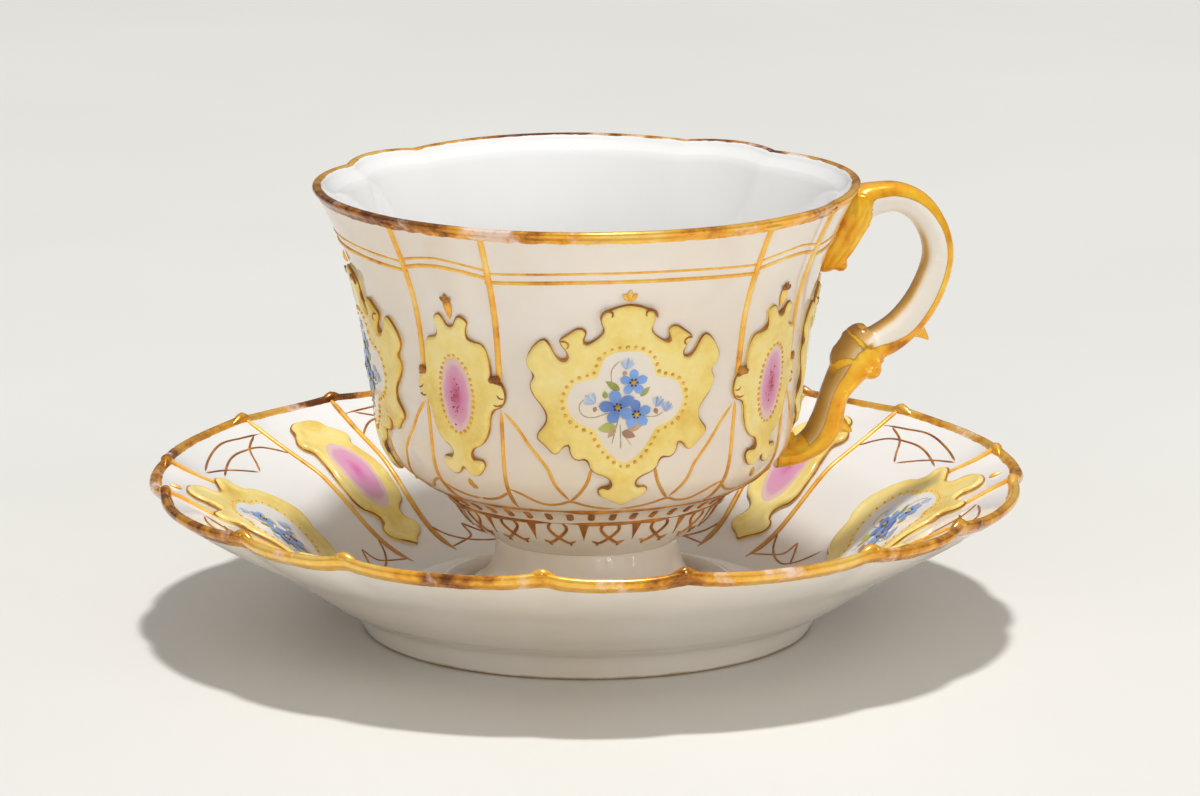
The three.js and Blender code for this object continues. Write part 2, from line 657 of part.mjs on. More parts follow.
addPiece('cup_foot', footBody(), porcelain);
addPiece('cup_bowl', bowlBody(), porcelain);
addPiece('cup_handle', toGeometry(handleBody()), gilding);
const cupFlower = cupCartouche(
  FLOWER_OUTLINE, CUP_FLOWER_WIDTH, CUP_FLOWER_LENGTH, CUP_FLOWER_HEIGHT, 0,
);
const cupOval = toGeometry(cupCartouche(
  OVAL_OUTLINE, CUP_OVAL_WIDTH, CUP_OVAL_LENGTH, CUP_OVAL_HEIGHT, Math.PI / CUP_PANEL_PAIRS,
));
['back', 'left', 'front'].forEach((side, i) => {
  addPiece(`cup_flower_cartouche_${side}`, toGeometry(cupFlower), yellowGlaze, (i + 1) * 90);
});
['back_right', 'back_left', 'front_left', 'front_right'].forEach((corner, i) => {
  addPiece(`cup_oval_cartouche_${corner}`, cupOval, yellowGlaze, 45 + i * 90);
});

// On the handle's side the cartouche is trimmed above and below, where the handle is stuck on
const trimmedFlower = cupFlower.intersect(layer(HANDLE_END + HANDLE_THICKNESS / 2 + FIT, LEAF_TIP - FIT));
addPiece('cup_flower_cartouche_handle', toGeometry(trimmedFlower), yellowGlaze);

export default cupAndSaucer;
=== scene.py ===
"""A gilded porcelain teacup standing in its saucer. Lengths are millimetres until a mesh is made."""
import math

import bmesh
import bpy
import numpy as np
from mathutils import Matrix, Vector
from mathutils.geometry import delaunay_2d_cdt


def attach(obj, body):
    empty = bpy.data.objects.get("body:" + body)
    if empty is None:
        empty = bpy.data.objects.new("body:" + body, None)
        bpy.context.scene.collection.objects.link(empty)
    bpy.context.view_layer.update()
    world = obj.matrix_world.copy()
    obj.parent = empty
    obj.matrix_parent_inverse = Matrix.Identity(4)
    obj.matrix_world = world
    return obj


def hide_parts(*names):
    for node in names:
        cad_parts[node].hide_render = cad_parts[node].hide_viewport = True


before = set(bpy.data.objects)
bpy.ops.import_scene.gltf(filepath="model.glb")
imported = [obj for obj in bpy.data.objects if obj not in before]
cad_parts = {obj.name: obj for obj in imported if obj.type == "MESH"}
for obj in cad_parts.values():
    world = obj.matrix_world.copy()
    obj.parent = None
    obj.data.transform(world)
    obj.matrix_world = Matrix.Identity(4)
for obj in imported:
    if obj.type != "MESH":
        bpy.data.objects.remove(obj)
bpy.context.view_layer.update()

# The stand: a pale plain table under one lamp from above and two weak ones in front, seen from a
# metre away through a long lens, a little from the left of the cup's front panel.
MM = 0.001
VIEW_TURN = math.radians(-10)
VIEW_DIP = math.radians(12.73)
VIEW_PLACE = Vector((2.25, -993.92, 264.34)) * MM
LENS = 177.1
FLOOR_SIZE = 8.0
LAMP_AIM = Vector((0, 0, 40)) * MM

camera_data = bpy.data.cameras.new("camera")
camera_data.lens = LENS
camera = bpy.data.objects.new("camera", camera_data)
camera.location = Matrix.Rotation(VIEW_TURN, 3, "Z") @ VIEW_PLACE
camera.rotation_euler = (math.pi / 2 - VIEW_DIP, 0, VIEW_TURN)
bpy.context.scene.collection.objects.link(camera)
bpy.context.scene.camera = camera
bpy.context.scene.view_settings.view_transform = "Standard"


def node(tree, kind, inputs=None, **settings):
    """Adds a node. inputs maps a socket's name or place to a value or to another node's output."""
    made = tree.nodes.new(kind)
    for key, value in settings.items():
        setattr(made, key, value)
    for key, value in (inputs or {}).items():
        if isinstance(value, bpy.types.NodeSocket):
            tree.links.new(value, made.inputs[key])
        else:
            made.inputs[key].default_value = value
    return made


def calc(tree, operation, *values):
    """The output of a math node."""
    return node(tree, "ShaderNodeMath", dict(enumerate(values)), operation=operation).outputs[0]


def finish_of(name, **sockets):
    """A material with a Principled shader. Returns the material, its tree and the shader."""
    material = bpy.data.materials.new(name)
    material.use_nodes = True
    tree = material.node_tree
    shader = tree.nodes["Principled BSDF"]
    for key, value in sockets.items():
        shader.inputs[key.replace("_", " ")].default_value = value
    return material, tree, shader


def noise(tree, scale, detail=3.0, rough=0.55):
    """Noise on the piece's own coordinates, scale in features for each metre."""
    place = node(tree, "ShaderNodeTexCoord").outputs["Object"]
    return node(tree, "ShaderNodeTexNoise", {
        "Vector": place, "Scale": scale, "Detail": detail, "Roughness": rough,
    }).outputs["Fac"]


def ramp(tree, factor, *stops):
    """A colour ramp of (position, colour) stops."""
    made = node(tree, "ShaderNodeValToRGB", {"Fac": factor})
    elements = made.color_ramp.elements
    while len(elements) < len(stops):
        elements.new(0.5)
    for element, (position, colour) in zip(elements, stops):
        element.position = position
        element.color = (*colour, 1)
    return made.outputs["Color"]


def link(tree, output, shader, socket):
    tree.links.new(output, shader.inputs[socket])


def mottled(name, grain, *stops, **sockets):
    """A finish whose colour wanders through the stops, with noise of this grain."""
    material, tree, shader = finish_of(name, **sockets)
    link(tree, ramp(tree, noise(tree, *grain), *stops), shader, "Base Color")
    return material


def add_object(name, mesh):
    made = bpy.data.objects.new(name, mesh)
    bpy.context.scene.collection.objects.link(made)
    return made


table_finish = mottled(
    "table", [6], (0.3, (0.77, 0.755, 0.71)), (0.7, (0.80, 0.785, 0.74)), Roughness=0.55)
corner = FLOOR_SIZE / 2
table_mesh = bpy.data.meshes.new("table")
table_mesh.from_pydata(
    [(-corner, -corner, 0), (corner, -corner, 0), (corner, corner, 0), (-corner, corner, 0)],
    [], [(0, 1, 2, 3)],
)
table_mesh.materials.append(table_finish)
add_object("table", table_mesh)

world = bpy.data.worlds.new("studio")
bpy.context.scene.world = world
world.use_nodes = True
tree = world.node_tree
direction = node(tree, "ShaderNodeTexCoord").outputs["Generated"]
up = node(tree, "ShaderNodeSeparateXYZ", {0: direction}).outputs["Z"]
sky = ramp(tree, up, (0.0, (0.10, 0.095, 0.09)), (0.25, (0.19, 0.19, 0.19)), (0.8, (0.46, 0.46, 0.46)))
tree.links.new(sky, tree.nodes["Background"].inputs["Color"])


def lamp(name, place, size, watts, mirrored=True):
    """A square lamp. One that is not mirrored lights the porcelain but leaves no shine on it."""
    light = bpy.data.lights.new(name, "AREA")
    light.energy = watts
    light.size = size
    made = bpy.data.objects.new(name, light)
    made.location = place
    made.rotation_euler = (LAMP_AIM - Vector(place)).to_track_quat("-Z", "Y").to_euler()
    made.visible_glossy = mirrored
    bpy.context.scene.collection.objects.link(made)


lamp("key", place=(0.22, -0.25, 3.9), size=0.32, watts=110)
lamp("fill_front", place=(-0.5, -1.1, 0.28), size=0.6, watts=3.3, mirrored=False)
lamp("fill_right", place=(0.85, -0.75, 0.25), size=0.4, watts=2.5, mirrored=False)


# Saucer: one pressed porcelain dish under a clear glaze. Sixteen panels meet in shallow grooves at
# the rim, the foot ring is turned and ground, and a raised ring keeps the cup in place. The rim is
# gilded by brush.
SAUCER_TURN = math.radians(-6.5)
SAUCER_PAIRS = 8
SAUCER_NARROW = math.radians(18)
SAUCER_SHARPNESS = 3.0
SAUCER_NOTCH = 1.2
SAUCER_RISE = 0.9
SAUCER_BORDER = 59.0
SAUCER_RADIUS = 75.6
SAUCER_FLOOR = 5.0
WELL_RADIUS = 25.0
WELL_HALF_WIDTH = 1.9
WELL_HEIGHT = 2.5
WELL_FULLNESS = 0.8
WELL_STEPS = 15
WELL_INSIDE = 20
WELL_OUTSIDE = 29
SAUCER_LIP_START = 73.8
COLUMNS = 240
GLAZE = {"Roughness": 0.09, "IOR": 1.52}
RIPPLE_DEPTH = 0.4 * MM
BRUSH_WAVER = 0.9
BRUSH_EDGE = 0.05
RUBBED_GOLD = (0.84, 0.62, 0.50)
BARE_CLAY = (0.50, 0.35, 0.18)
# Below these heights, near the table and round the cup's foot, the glaze is painted creamier as warm bounce
# light and shade.
BOUNCE_WARM_BELOW = (15 * MM, 7 * MM)
BARE_BELOW = (1.15 * MM, 0.7 * MM)
SAUCER_UPPER = [
    (33, 5), (39.8, 6.5), (44.9, 9.1), (50, 13.1), (54.7, 17), (59, 19.7), (70.5, 24.8), (75.6, 26.8),
]
SAUCER_RIM = [(74.4, 26.75), (75.2, 26.7), (75.6, 26.1), (75.3, 25.3), (74.4, 24.6)]
SAUCER_UNDER = [
    (73.4, 23.9), (70.2, 21.8), (64.6, 18.5), (57.2, 14.4), (49.7, 9.4), (45.9, 6.9), (42.6, 5.2),
    (41, 3.8), (39.6, 1.6), (38.9, 0.35),
]
SAUCER_FOOT = [(38.4, 0), (36.6, 0), (35.1, 0.3), (34.6, 1.2), (34.2, 2.2), (30, 2.4), (0, 2.4)]


def smooth(points, steps):
    """A curve through the points, with this many steps between two of them."""
    points = np.array(points, float)
    padded = np.vstack([points[:1], points, points[-1:]])
    share = np.arange(steps)[:, None] / steps
    spans = []
    for a, b, c, d in zip(padded, padded[1:], padded[2:], padded[3:]):
        spans.append(0.5 * (2 * b + (c - a) * share + (2 * a - 5 * b + 4 * c - d) * share**2
                            + (3 * b - a - 3 * c + d) * share**3))
    return np.vstack([*spans, points[-1:]])


def panel_dip(angle, pairs, narrow, sharpness):
    """0 in the middle of a panel and 1 in the groove between two. A wide panel's middle is at zero."""
    pitch = 2 * math.pi / pairs
    away = np.abs((angle + pitch / 2) % pitch - pitch / 2)
    across = np.minimum(away / ((pitch - narrow) / 2), (pitch / 2 - away) / (narrow / 2))
    return across**sharpness


def new_tree(name, *sockets):
    """A geometry node tree with these inputs, each a name and a socket type."""
    tree = bpy.data.node_groups.new(name, "GeometryNodeTree")
    tree.interface.new_socket("Geometry", in_out="INPUT", socket_type="NodeSocketGeometry")
    for label, kind in sockets:
        tree.interface.new_socket(label, in_out="INPUT", socket_type="NodeSocket" + kind)
    tree.interface.new_socket("Geometry", in_out="OUTPUT", socket_type="NodeSocketGeometry")
    return tree, node(tree, "NodeGroupInput").outputs


def end_tree(tree, geometry, material):
    """Ends a tree: whole meshes, smooth, in one material."""
    whole = node(tree, "GeometryNodeRealizeInstances", {"Geometry": geometry}).outputs[0]
    smoothed = node(tree, "GeometryNodeSetShadeSmooth", {"Geometry": whole}).outputs[0]
    finished = node(tree, "GeometryNodeSetMaterial", {"Geometry": smoothed, "Material": material}).outputs[0]
    node(tree, "NodeGroupOutput", {0: finished})


def named(tree, label, kind="FLOAT"):
    return node(tree, "GeometryNodeInputNamedAttribute", {"Name": label}, data_type=kind).outputs[0]


def grow(name, mesh, tree, **inputs):
    """Runs a node tree on a mesh and keeps the result as a plain mesh object."""
    made = add_object(name, mesh)
    modifier = made.modifiers.new(tree.name, "NODES")
    modifier.node_group = tree
    for socket in tree.interface.items_tree:
        key = socket.name.lower().replace(" ", "_")
        if socket.in_out == "INPUT" and key in inputs:
            modifier[socket.identifier] = inputs[key]
    evaluated = made.evaluated_get(bpy.context.evaluated_depsgraph_get())
    result = bpy.data.meshes.new_from_object(evaluated)
    made.modifiers.remove(modifier)
    made.data = result
    result.name = name
    return made


def turn_outwards(made):
    """Points the faces of a closed mesh outwards."""
    work = bmesh.new()
    work.from_mesh(made.data)
    bmesh.ops.recalc_face_normals(work, faces=work.faces)
    work.to_mesh(made.data)
    work.free()


# A section turned round the axis. Its points carry lobe, how far they follow the panels, and lip, how
# far they lie from the lip along the section.
shell_tree, given = new_tree(
    "panelled_shell", ("Columns", "Int"), ("Panel pairs", "Int"), ("Narrow panel", "Float"),
    ("Sharpness", "Float"), ("Notch", "Float"), ("Rise", "Float"), ("Turn", "Float"), ("Glaze", "Material"),
)
tree = shell_tree
rows = node(tree, "GeometryNodeAttributeDomainSize", {"Geometry": given["Geometry"]}, component="MESH")
grid = node(tree, "GeometryNodeMeshGrid", {
    "Size X": 1.0, "Size Y": 1.0, "Vertices X": calc(tree, "ADD", given["Columns"], 1),
    "Vertices Y": rows.outputs["Point Count"],
})
place = node(tree, "ShaderNodeSeparateXYZ", {0: node(tree, "GeometryNodeInputPosition").outputs[0]})
angle = calc(tree, "MULTIPLY", calc(tree, "ADD", place.outputs["X"], 0.5), 2 * math.pi)
last_row = calc(tree, "SUBTRACT", rows.outputs["Point Count"], 1)
row = calc(tree, "ROUND", calc(tree, "MULTIPLY", calc(tree, "ADD", place.outputs["Y"], 0.5), last_row))
section, lobe, lip = (
    node(tree, "GeometryNodeSampleIndex", {
        "Geometry": given["Geometry"], "Value": value, "Index": row,
    }, data_type=kind).outputs[0]
    for value, kind in (
        (node(tree, "GeometryNodeInputPosition").outputs[0], "FLOAT_VECTOR"),
        (named(tree, "lobe"), "FLOAT"), (named(tree, "lip"), "FLOAT"),
    )
)
marked = node(tree, "GeometryNodeStoreNamedAttribute", {
    "Geometry": grid.outputs["Mesh"], "Name": "lip", "Value": lip,
}, data_type="FLOAT", domain="POINT")
radius_height = node(tree, "ShaderNodeSeparateXYZ", {0: section})
half_pitch = calc(tree, "DIVIDE", math.pi, given["Panel pairs"])
away = calc(tree, "PINGPONG", calc(tree, "SUBTRACT", angle, given["Turn"]), half_pitch)
half_narrow = calc(tree, "DIVIDE", given["Narrow panel"], 2.0)
across = calc(tree, "MINIMUM",
              calc(tree, "DIVIDE", away, calc(tree, "SUBTRACT", half_pitch, half_narrow)),
              calc(tree, "DIVIDE", calc(tree, "SUBTRACT", half_pitch, away), half_narrow))
amount = calc(tree, "MULTIPLY", calc(tree, "POWER", across, given["Sharpness"]), lobe)
radius = calc(tree, "SUBTRACT", radius_height.outputs["X"], calc(tree, "MULTIPLY", given["Notch"], amount))
height = calc(tree, "ADD", radius_height.outputs["Z"], calc(tree, "MULTIPLY", given["Rise"], amount))
turned = node(tree, "ShaderNodeCombineXYZ", {
    "X": calc(tree, "MULTIPLY", radius, calc(tree, "COSINE", angle)),
    "Y": calc(tree, "MULTIPLY", radius, calc(tree, "SINE", angle)),
    "Z": height,
})
moved = node(tree, "GeometryNodeSetPosition", {"Geometry": marked.outputs[0], "Position": turned.outputs[0]})
closed = node(tree, "GeometryNodeMergeByDistance", {"Geometry": moved.outputs[0], "Distance": 0.005 * MM})
end_tree(tree, closed.outputs[0], given["Glaze"])


def way_along(points):
    """How far each point lies along a row of points."""
    return np.concatenate([[0], np.cumsum(np.linalg.norm(np.diff(points, axis=0), axis=1))])


def mark(mesh, label, values):
    """Gives each point of a mesh a number of its own."""
    mesh.attributes.new(label, "FLOAT", "POINT").data.foreach_set("value", np.array(values, np.float32))


def shell(name, points, lobes, top, glaze, **panels):
    """A panelled body from its section, between two points on the axis. top is the lip's place in it."""
    mesh = bpy.data.meshes.new(name)
    places = [(r * MM, 0, z * MM) for r, z in points]
    mesh.from_pydata(places, [(i, i + 1) for i in range(len(points) - 1)], [])
    way = way_along(points)
    mark(mesh, "lobe", lobes)
    mark(mesh, "lip", way - way[top])
    made = grow(name, mesh, shell_tree, columns=COLUMNS, glaze=glaze, **panels)
    turn_outwards(made)
    return made


def saucer_lobe(radius):
    return np.clip((radius - SAUCER_BORDER) / (SAUCER_RADIUS - SAUCER_BORDER), 0, 1) ** 2


def attribute(tree, label):
    return node(tree, "ShaderNodeAttribute", attribute_name=label).outputs["Fac"]


def level(tree):
    """How high a place is above the table, in metres."""
    place = node(tree, "ShaderNodeTexCoord").outputs["Object"]
    return node(tree, "ShaderNodeSeparateXYZ", {0: place}).outputs["Z"]


def unsteady(tree, value, amount, *grain):
    """A value that noise of this grain raises by up to amount."""
    return calc(tree, "ADD", value, calc(tree, "MULTIPLY", noise(tree, *grain), amount))


def wavering(tree, value, amount, *grain):
    """A value that noise of this grain moves up and down."""
    waver = calc(tree, "MULTIPLY", calc(tree, "SUBTRACT", noise(tree, *grain), 0.5), amount)
    return calc(tree, "ADD", value, waver)


def between(tree, value, low, high):
    """0 at low and below, 1 at high and above."""
    return node(tree, "ShaderNodeMapRange", {"Value": value, "From Min": low, "From Max": high}).outputs[0]


def blend(tree, factor, first, second):
    """A mix of two colours."""
    made = node(tree, "ShaderNodeMix", {"Factor": factor}, data_type="RGBA")
    for key, colour in ((6, first), (7, second)):
        if isinstance(colour, bpy.types.NodeSocket):
            tree.links.new(colour, made.inputs[key])
        else:
            made.inputs[key].default_value = (*colour, 1)
    return made.outputs[2]


def white_ground(tree):
    """Clear glaze on white porcelain."""
    return ramp(tree, noise(tree, 45, 4), (0.3, (0.845, 0.835, 0.815)), (0.7, (0.875, 0.87, 0.855)))


def bounce_warmed_ground(tree):
    """The same a little creamier: painted warm bounce light."""
    return ramp(tree, noise(tree, 30, 4), (0.3, (0.80, 0.705, 0.585)), (0.7, (0.865, 0.81, 0.745)))


def add_ripple(tree, shader, grain=220, detail=2, strength=0.05):
    """The faint unevenness of a fired glaze."""
    ripple = node(tree, "ShaderNodeBump", {
        "Height": noise(tree, grain, detail), "Strength": strength, "Distance": RIPPLE_DEPTH,
    })
    link(tree, ripple.outputs[0], shader, "Normal")


def worn_gold(tree, browned):
    """Brushed gold, browned in stretches and rubbed off in places. Gives its colour and its metal share."""
    tone = unsteady(tree, calc(tree, "MULTIPLY", noise(tree, 55, 3), 0.7), 0.35, 420, 5, 0.7)
    gold = ramp(
        tree, calc(tree, "SUBTRACT", tone, browned), (0.37, (0.17, 0.05, 0.01)),
        (0.44, (0.52, 0.19, 0.02)), (0.52, (0.94, 0.45, 0.04)), (0.64, (1.0, 0.66, 0.16)),
    )
    rubbed = between(tree, noise(tree, 95, 6, 0.65), 0.55, 0.65)
    metal = calc(tree, "SUBTRACT", 0.5, calc(tree, "MULTIPLY", rubbed, 0.45))
    return blend(tree, rubbed, gold, RUBBED_GOLD), metal


def gilded_porcelain(name, low, high, bounce_side, browned):
    """White glaze with a gilt band along the lip, from low to high on the lip attribute, in millimetres.
    Beyond the lip, where the attribute is on bounce_side's side of zero, and low down, the glaze is painted
    a little warmer, as warm bounce light and shade. What stands on the table is ground bare."""
    material, tree, shader = finish_of(name, **GLAZE)
    lip = attribute(tree, "lip")
    brushed = wavering(tree, lip, BRUSH_WAVER, 330, 4)
    gilt = calc(tree, "MULTIPLY", between(tree, brushed, low - BRUSH_EDGE, low + BRUSH_EDGE),
                between(tree, brushed, high + BRUSH_EDGE, high - BRUSH_EDGE))
    up = level(tree)
    # Painted warm bounce light and shade: creamier beyond the lip on bounce_side's side, and low down.
    bounce_warmth = calc(tree, "MAXIMUM", between(tree, lip, -bounce_side, bounce_side), between(tree, up, *BOUNCE_WARM_BELOW))
    ground = blend(tree, bounce_warmth, white_ground(tree), bounce_warmed_ground(tree))
    worn = unsteady(tree, up, 0.9 * MM, 160, 4)
    ground = blend(tree, between(tree, worn, *BARE_BELOW), ground, BARE_CLAY)
    gold, metal = worn_gold(tree, browned)
    link(tree, blend(tree, gilt, ground, gold), shader, "Base Color")
    link(tree, calc(tree, "MULTIPLY", gilt, metal), shader, "Metallic")
    rough = calc(tree, "ADD", GLAZE["Roughness"], calc(tree, "MULTIPLY", gilt, 0.1))
    link(tree, rough, shader, "Roughness")
    add_ripple(tree, shader)
    return material


# The saucer's underside and its well round the cup's foot are painted creamier, as warm bounce light and
# shade.
saucer_porcelain = gilded_porcelain("saucer_porcelain", low=-2.8, high=2.7, bounce_side=0.5, browned=0.0)

well = [
    (WELL_RADIUS + WELL_HALF_WIDTH * math.cos(a), SAUCER_FLOOR + WELL_HEIGHT * math.sin(a) ** WELL_FULLNESS)
    for a in np.linspace(math.pi, 0, WELL_STEPS)
]
saucer_upper = smooth(SAUCER_UPPER, 8)
saucer_upper = saucer_upper[saucer_upper[:, 0] < SAUCER_LIP_START]
saucer_section = np.vstack([
    [(0, SAUCER_FLOOR), (WELL_INSIDE, SAUCER_FLOOR)], well, [(WELL_OUTSIDE, SAUCER_FLOOR)], saucer_upper,
    smooth([saucer_upper[-1], *SAUCER_RIM, SAUCER_UNDER[0]], 4)[1:-1],
    smooth(SAUCER_UNDER, 5), smooth(SAUCER_FOOT[:5], 3), SAUCER_FOOT[5:],
])
saucer_dish = shell(
    "saucer_dish", saucer_section, saucer_lobe(saucer_section[:, 0]), saucer_section[:, 0].argmax(),
    saucer_porcelain,
    panel_pairs=SAUCER_PAIRS, narrow_panel=SAUCER_NARROW, sharpness=SAUCER_SHARPNESS,
    notch=SAUCER_NOTCH * MM, rise=SAUCER_RISE * MM, turn=SAUCER_TURN + math.pi / SAUCER_PAIRS,
)
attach(saucer_dish, "saucer")
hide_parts("saucer_body")

# Saucer cartouches: sprigs pressed in moulds and stuck on with slip, under a pale yellow glaze. Four
# large ones leave a white window for a spray of flowers, four small ones an oval of pink enamel.
SAUCER_FLOWER_HALF = [
    (0, 69.3), (2.2, 69), (3.9, 67.9), (4.5, 66.4), (4.3, 65.2), (5.4, 64.1), (7.2, 63.5), (9.6, 64),
    (12.2, 64.6), (13.7, 64), (14.2, 62.6), (13.1, 61), (13.3, 59.8), (14.9, 58.6), (15.8, 56.6),
    (16.5, 54.6), (17.4, 52.4), (17.6, 50), (16.5, 48.2), (15, 47.2), (14.1, 45.4), (12.6, 44),
    (10.6, 43.3), (8.4, 43.2), (6.8, 42.6), (5.2, 41.6), (4.2, 40.2), (3, 39), (0, 38.4),
]
SAUCER_WINDOW_HALF = [
    (0, 61), (2.8, 60.8), (4.8, 59.8), (6.2, 58.2), (8.4, 57.4), (10, 55.4), (10.6, 52.8), (9.8, 50.2),
    (8, 48.4), (5.8, 47.6), (4, 46), (2.2, 44.6), (0, 44),
]
SAUCER_OVAL_HALF = [
    (0, 69.7), (2, 69.5), (3.6, 68.4), (4.1, 66.9), (5.2, 65.6), (6.1, 64.1), (5.9, 62.6), (4.9, 61.4),
    (5.2, 59.4), (5.7, 57), (6.1, 54.6), (6, 52.4), (5.8, 50.6), (5, 49.2), (3.6, 48.4), (2.7, 47.4),
    (2.9, 46.2), (3.9, 45.4), (4.2, 44.2), (3.4, 43), (2, 42.2), (0.8, 41.4), (0, 40.6),
]
SAUCER_PINK = (55.6, 3.6, 6.9)
FLOWER_SIDES = {"right": 0, "back": 90, "left": 180, "front": 270}
OVAL_SIDES = {"back_right": 45, "back_left": 135, "front_left": 225, "front_right": 315}
SPRIG_EDGE = 0.2
SPRIG_CREST = 1.05
SPRIG_FIELD = 0.8
SPRIG_SUNK = 0.5
SPRIG_ROUND = 0.8
SPRIG_DISH = 1.2
SPRIG_REACH = 20
SPRIG_SPACING = 0.4
SPRIG_GRID = 0.65
SPRIG_ROWS = (0.13, 0.32, 0.58)
SPRIG_EDGE_GAP = 0.85
SPRIG_FIELD_GAP = 0.3
SAUCER_CREST = [(74.6, 26.7), (80, 26.7)]
saucer_top = np.vstack([[(0, SAUCER_FLOOR), (WELL_OUTSIDE, SAUCER_FLOOR)], saucer_upper, SAUCER_CREST])


def saucer_angle(degrees):
    return SAUCER_TURN + math.radians(degrees)


def saucer_height(x, y):
    """The height of the saucer's upper side over a place."""
    reach = np.hypot(x, y)
    angle = np.arctan2(y, x) - SAUCER_TURN - math.pi / SAUCER_PAIRS
    dip = panel_dip(angle, SAUCER_PAIRS, SAUCER_NARROW, SAUCER_SHARPNESS)
    radius = reach
    for _ in range(3):
        radius = reach + SAUCER_NOTCH * saucer_lobe(radius) * dip
    return np.interp(radius, *saucer_top.T) + SAUCER_RISE * saucer_lobe(radius) * dip


def unit(vectors):
    """The same directions, each of length one."""
    return vectors / np.linalg.norm(vectors, axis=1)[:, None]


def lay_on_saucer(flat, turn):
    """Lays flat points (across, out from the axis, up from the glaze) on the saucer, turned in radians."""
    across, out, proud = np.asarray(flat, float).T
    x = out * math.cos(turn) + across * math.sin(turn)
    y = out * math.sin(turn) - across * math.cos(turn)
    step = 0.3
    slope_x = (saucer_height(x + step, y) - saucer_height(x - step, y)) / (2 * step)
    slope_y = (saucer_height(x, y + step) - saucer_height(x, y - step)) / (2 * step)
    normal = unit(np.column_stack([-slope_x, -slope_y, np.ones_like(x)]))
    return np.column_stack([x, y, saucer_height(x, y)]) + normal * proud[:, None]


def whole(half):
    """A closed outline from its right half, crest first. Runs anticlockwise."""
    left = [(-x, y) for x, y in half[-2:0:-1]]
    return np.array([*half, *left], float)[::-1]


def smooth_ring(points, steps):
    """A closed curve through the points."""
    return smooth(np.vstack([points[-1:], points, points[:2]]), steps)[steps:-steps - 1]


def even(points, spacing, closed=False):
    """Points evenly spaced along a row of points."""
    points = np.asarray(points, float)
    if closed:
        points = np.vstack([points, points[:1]])
    way = way_along(points)
    places = np.linspace(0, way[-1], max(round(way[-1] / spacing), 2) + 1)
    if closed:
        places = places[:-1]
    return np.column_stack([np.interp(places, way, column) for column in points.T])


def is_inside(points, ring):
    x, y = points[:, :1], points[:, 1:]
    ax, ay = ring.T
    bx, by = np.roll(ring, -1, axis=0).T
    at = ax + (y - ay) * (bx - ax) / np.where(by == ay, 1e-9, by - ay)
    return np.sum(((ay > y) != (by > y)) & (x < at), axis=1) % 2 == 1


def distance_to(points, ring):
    best = np.full(len(points), np.inf)
    for start, span in zip(ring, np.roll(ring, -1, axis=0) - ring):
        share = np.clip((points - start) @ span / (span @ span), 0, 1)
        best = np.minimum(best, np.linalg.norm(points - start - share[:, None] * span, axis=1))
    return best


def pushed(ring, inward):
    """A ring moved inwards, without the places where it would fold."""
    along = unit(np.roll(ring, -1, axis=0) - np.roll(ring, 1, axis=0))
    moved = ring + inward * np.column_stack([-along[:, 1], along[:, 0]])
    return moved[distance_to(moved, ring) > 0.9 * abs(inward)]


def flat_sprig(name, outline, field, glaze, painted):
    """A pressed sprig in the flat: rolled edge, dished face and a field in a second material."""
    edge = even(smooth_ring(outline, 6), SPRIG_SPACING, True)
    border = even(smooth_ring(field, 6), SPRIG_SPACING, True)
    x, y = np.meshgrid(np.arange(-SPRIG_REACH, SPRIG_REACH, SPRIG_GRID),
                       np.arange(edge[:, 1].min(), edge[:, 1].max(), SPRIG_GRID))
    spread = np.column_stack([x.ravel(), y.ravel()])
    spread = spread[is_inside(spread, edge)]
    clear = (distance_to(spread, edge) > SPRIG_EDGE_GAP) & (distance_to(spread, border) > SPRIG_FIELD_GAP)
    rows = [edge, border, *(pushed(edge, step) for step in SPRIG_ROWS), spread[clear]]
    rings = [(0, len(edge)), (len(edge), len(border))]
    fixed = [(first + i, first + (i + 1) % count) for first, count in rings for i in range(count)]
    found = delaunay_2d_cdt([Vector(p) for p in np.vstack(rows)], fixed, [], 0, 1e-6)
    flat = np.array([tuple(p) for p in found[0]])
    faces = np.array(found[2])
    faces = faces[is_inside(flat[faces].mean(axis=1), edge)]
    away = distance_to(flat, edge)
    roll = np.sqrt(1 - (1 - np.clip(away / SPRIG_ROUND, 0, 1)) ** 2)
    dish = np.clip((away - SPRIG_ROUND) / SPRIG_DISH, 0, 1)
    dish = dish**2 * (3 - 2 * dish)
    up = SPRIG_EDGE + (SPRIG_CREST - SPRIG_EDGE) * roll - (SPRIG_CREST - SPRIG_FIELD) * dish
    work = bmesh.new()
    edge_layer = work.verts.layers.float.new("edge")
    middle_layer = work.verts.layers.float.new("middle")
    centre = (border.max(axis=0) + border.min(axis=0)) / 2
    half = (border.max(axis=0) - border.min(axis=0)) / 2
    made = []
    for place, rise, gap in zip(flat, up, away):
        vertex = work.verts.new((*place, rise))
        vertex[edge_layer] = gap
        vertex[middle_layer] = np.linalg.norm((place - centre) / half)
        made.append(vertex)
    in_field = is_inside(flat[faces].mean(axis=1), border)
    for corners, chosen in zip(faces, in_field):
        face = work.faces.new([made[i] for i in corners])
        face.material_index = int(chosen)
        face.smooth = True
    bmesh.ops.delete(work, geom=[v for v in work.verts if not v.link_faces], context="VERTS")
    rim = [e for e in work.edges if e.is_boundary]
    skirt = bmesh.ops.extrude_edge_only(work, edges=rim)["geom"]
    for item in skirt:
        if isinstance(item, bmesh.types.BMVert):
            item.co.z = -SPRIG_SUNK
        if isinstance(item, bmesh.types.BMFace):
            item.smooth = True
    bmesh.ops.recalc_face_normals(work, faces=work.faces)
    if max(work.faces, key=lambda f: f.calc_area()).normal.z < 0:
        bmesh.ops.reverse_faces(work, faces=work.faces)
    mesh = bpy.data.meshes.new(name)
    work.to_mesh(mesh)
    work.free()
    mesh.materials.append(glaze)
    mesh.materials.append(painted)
    return mesh


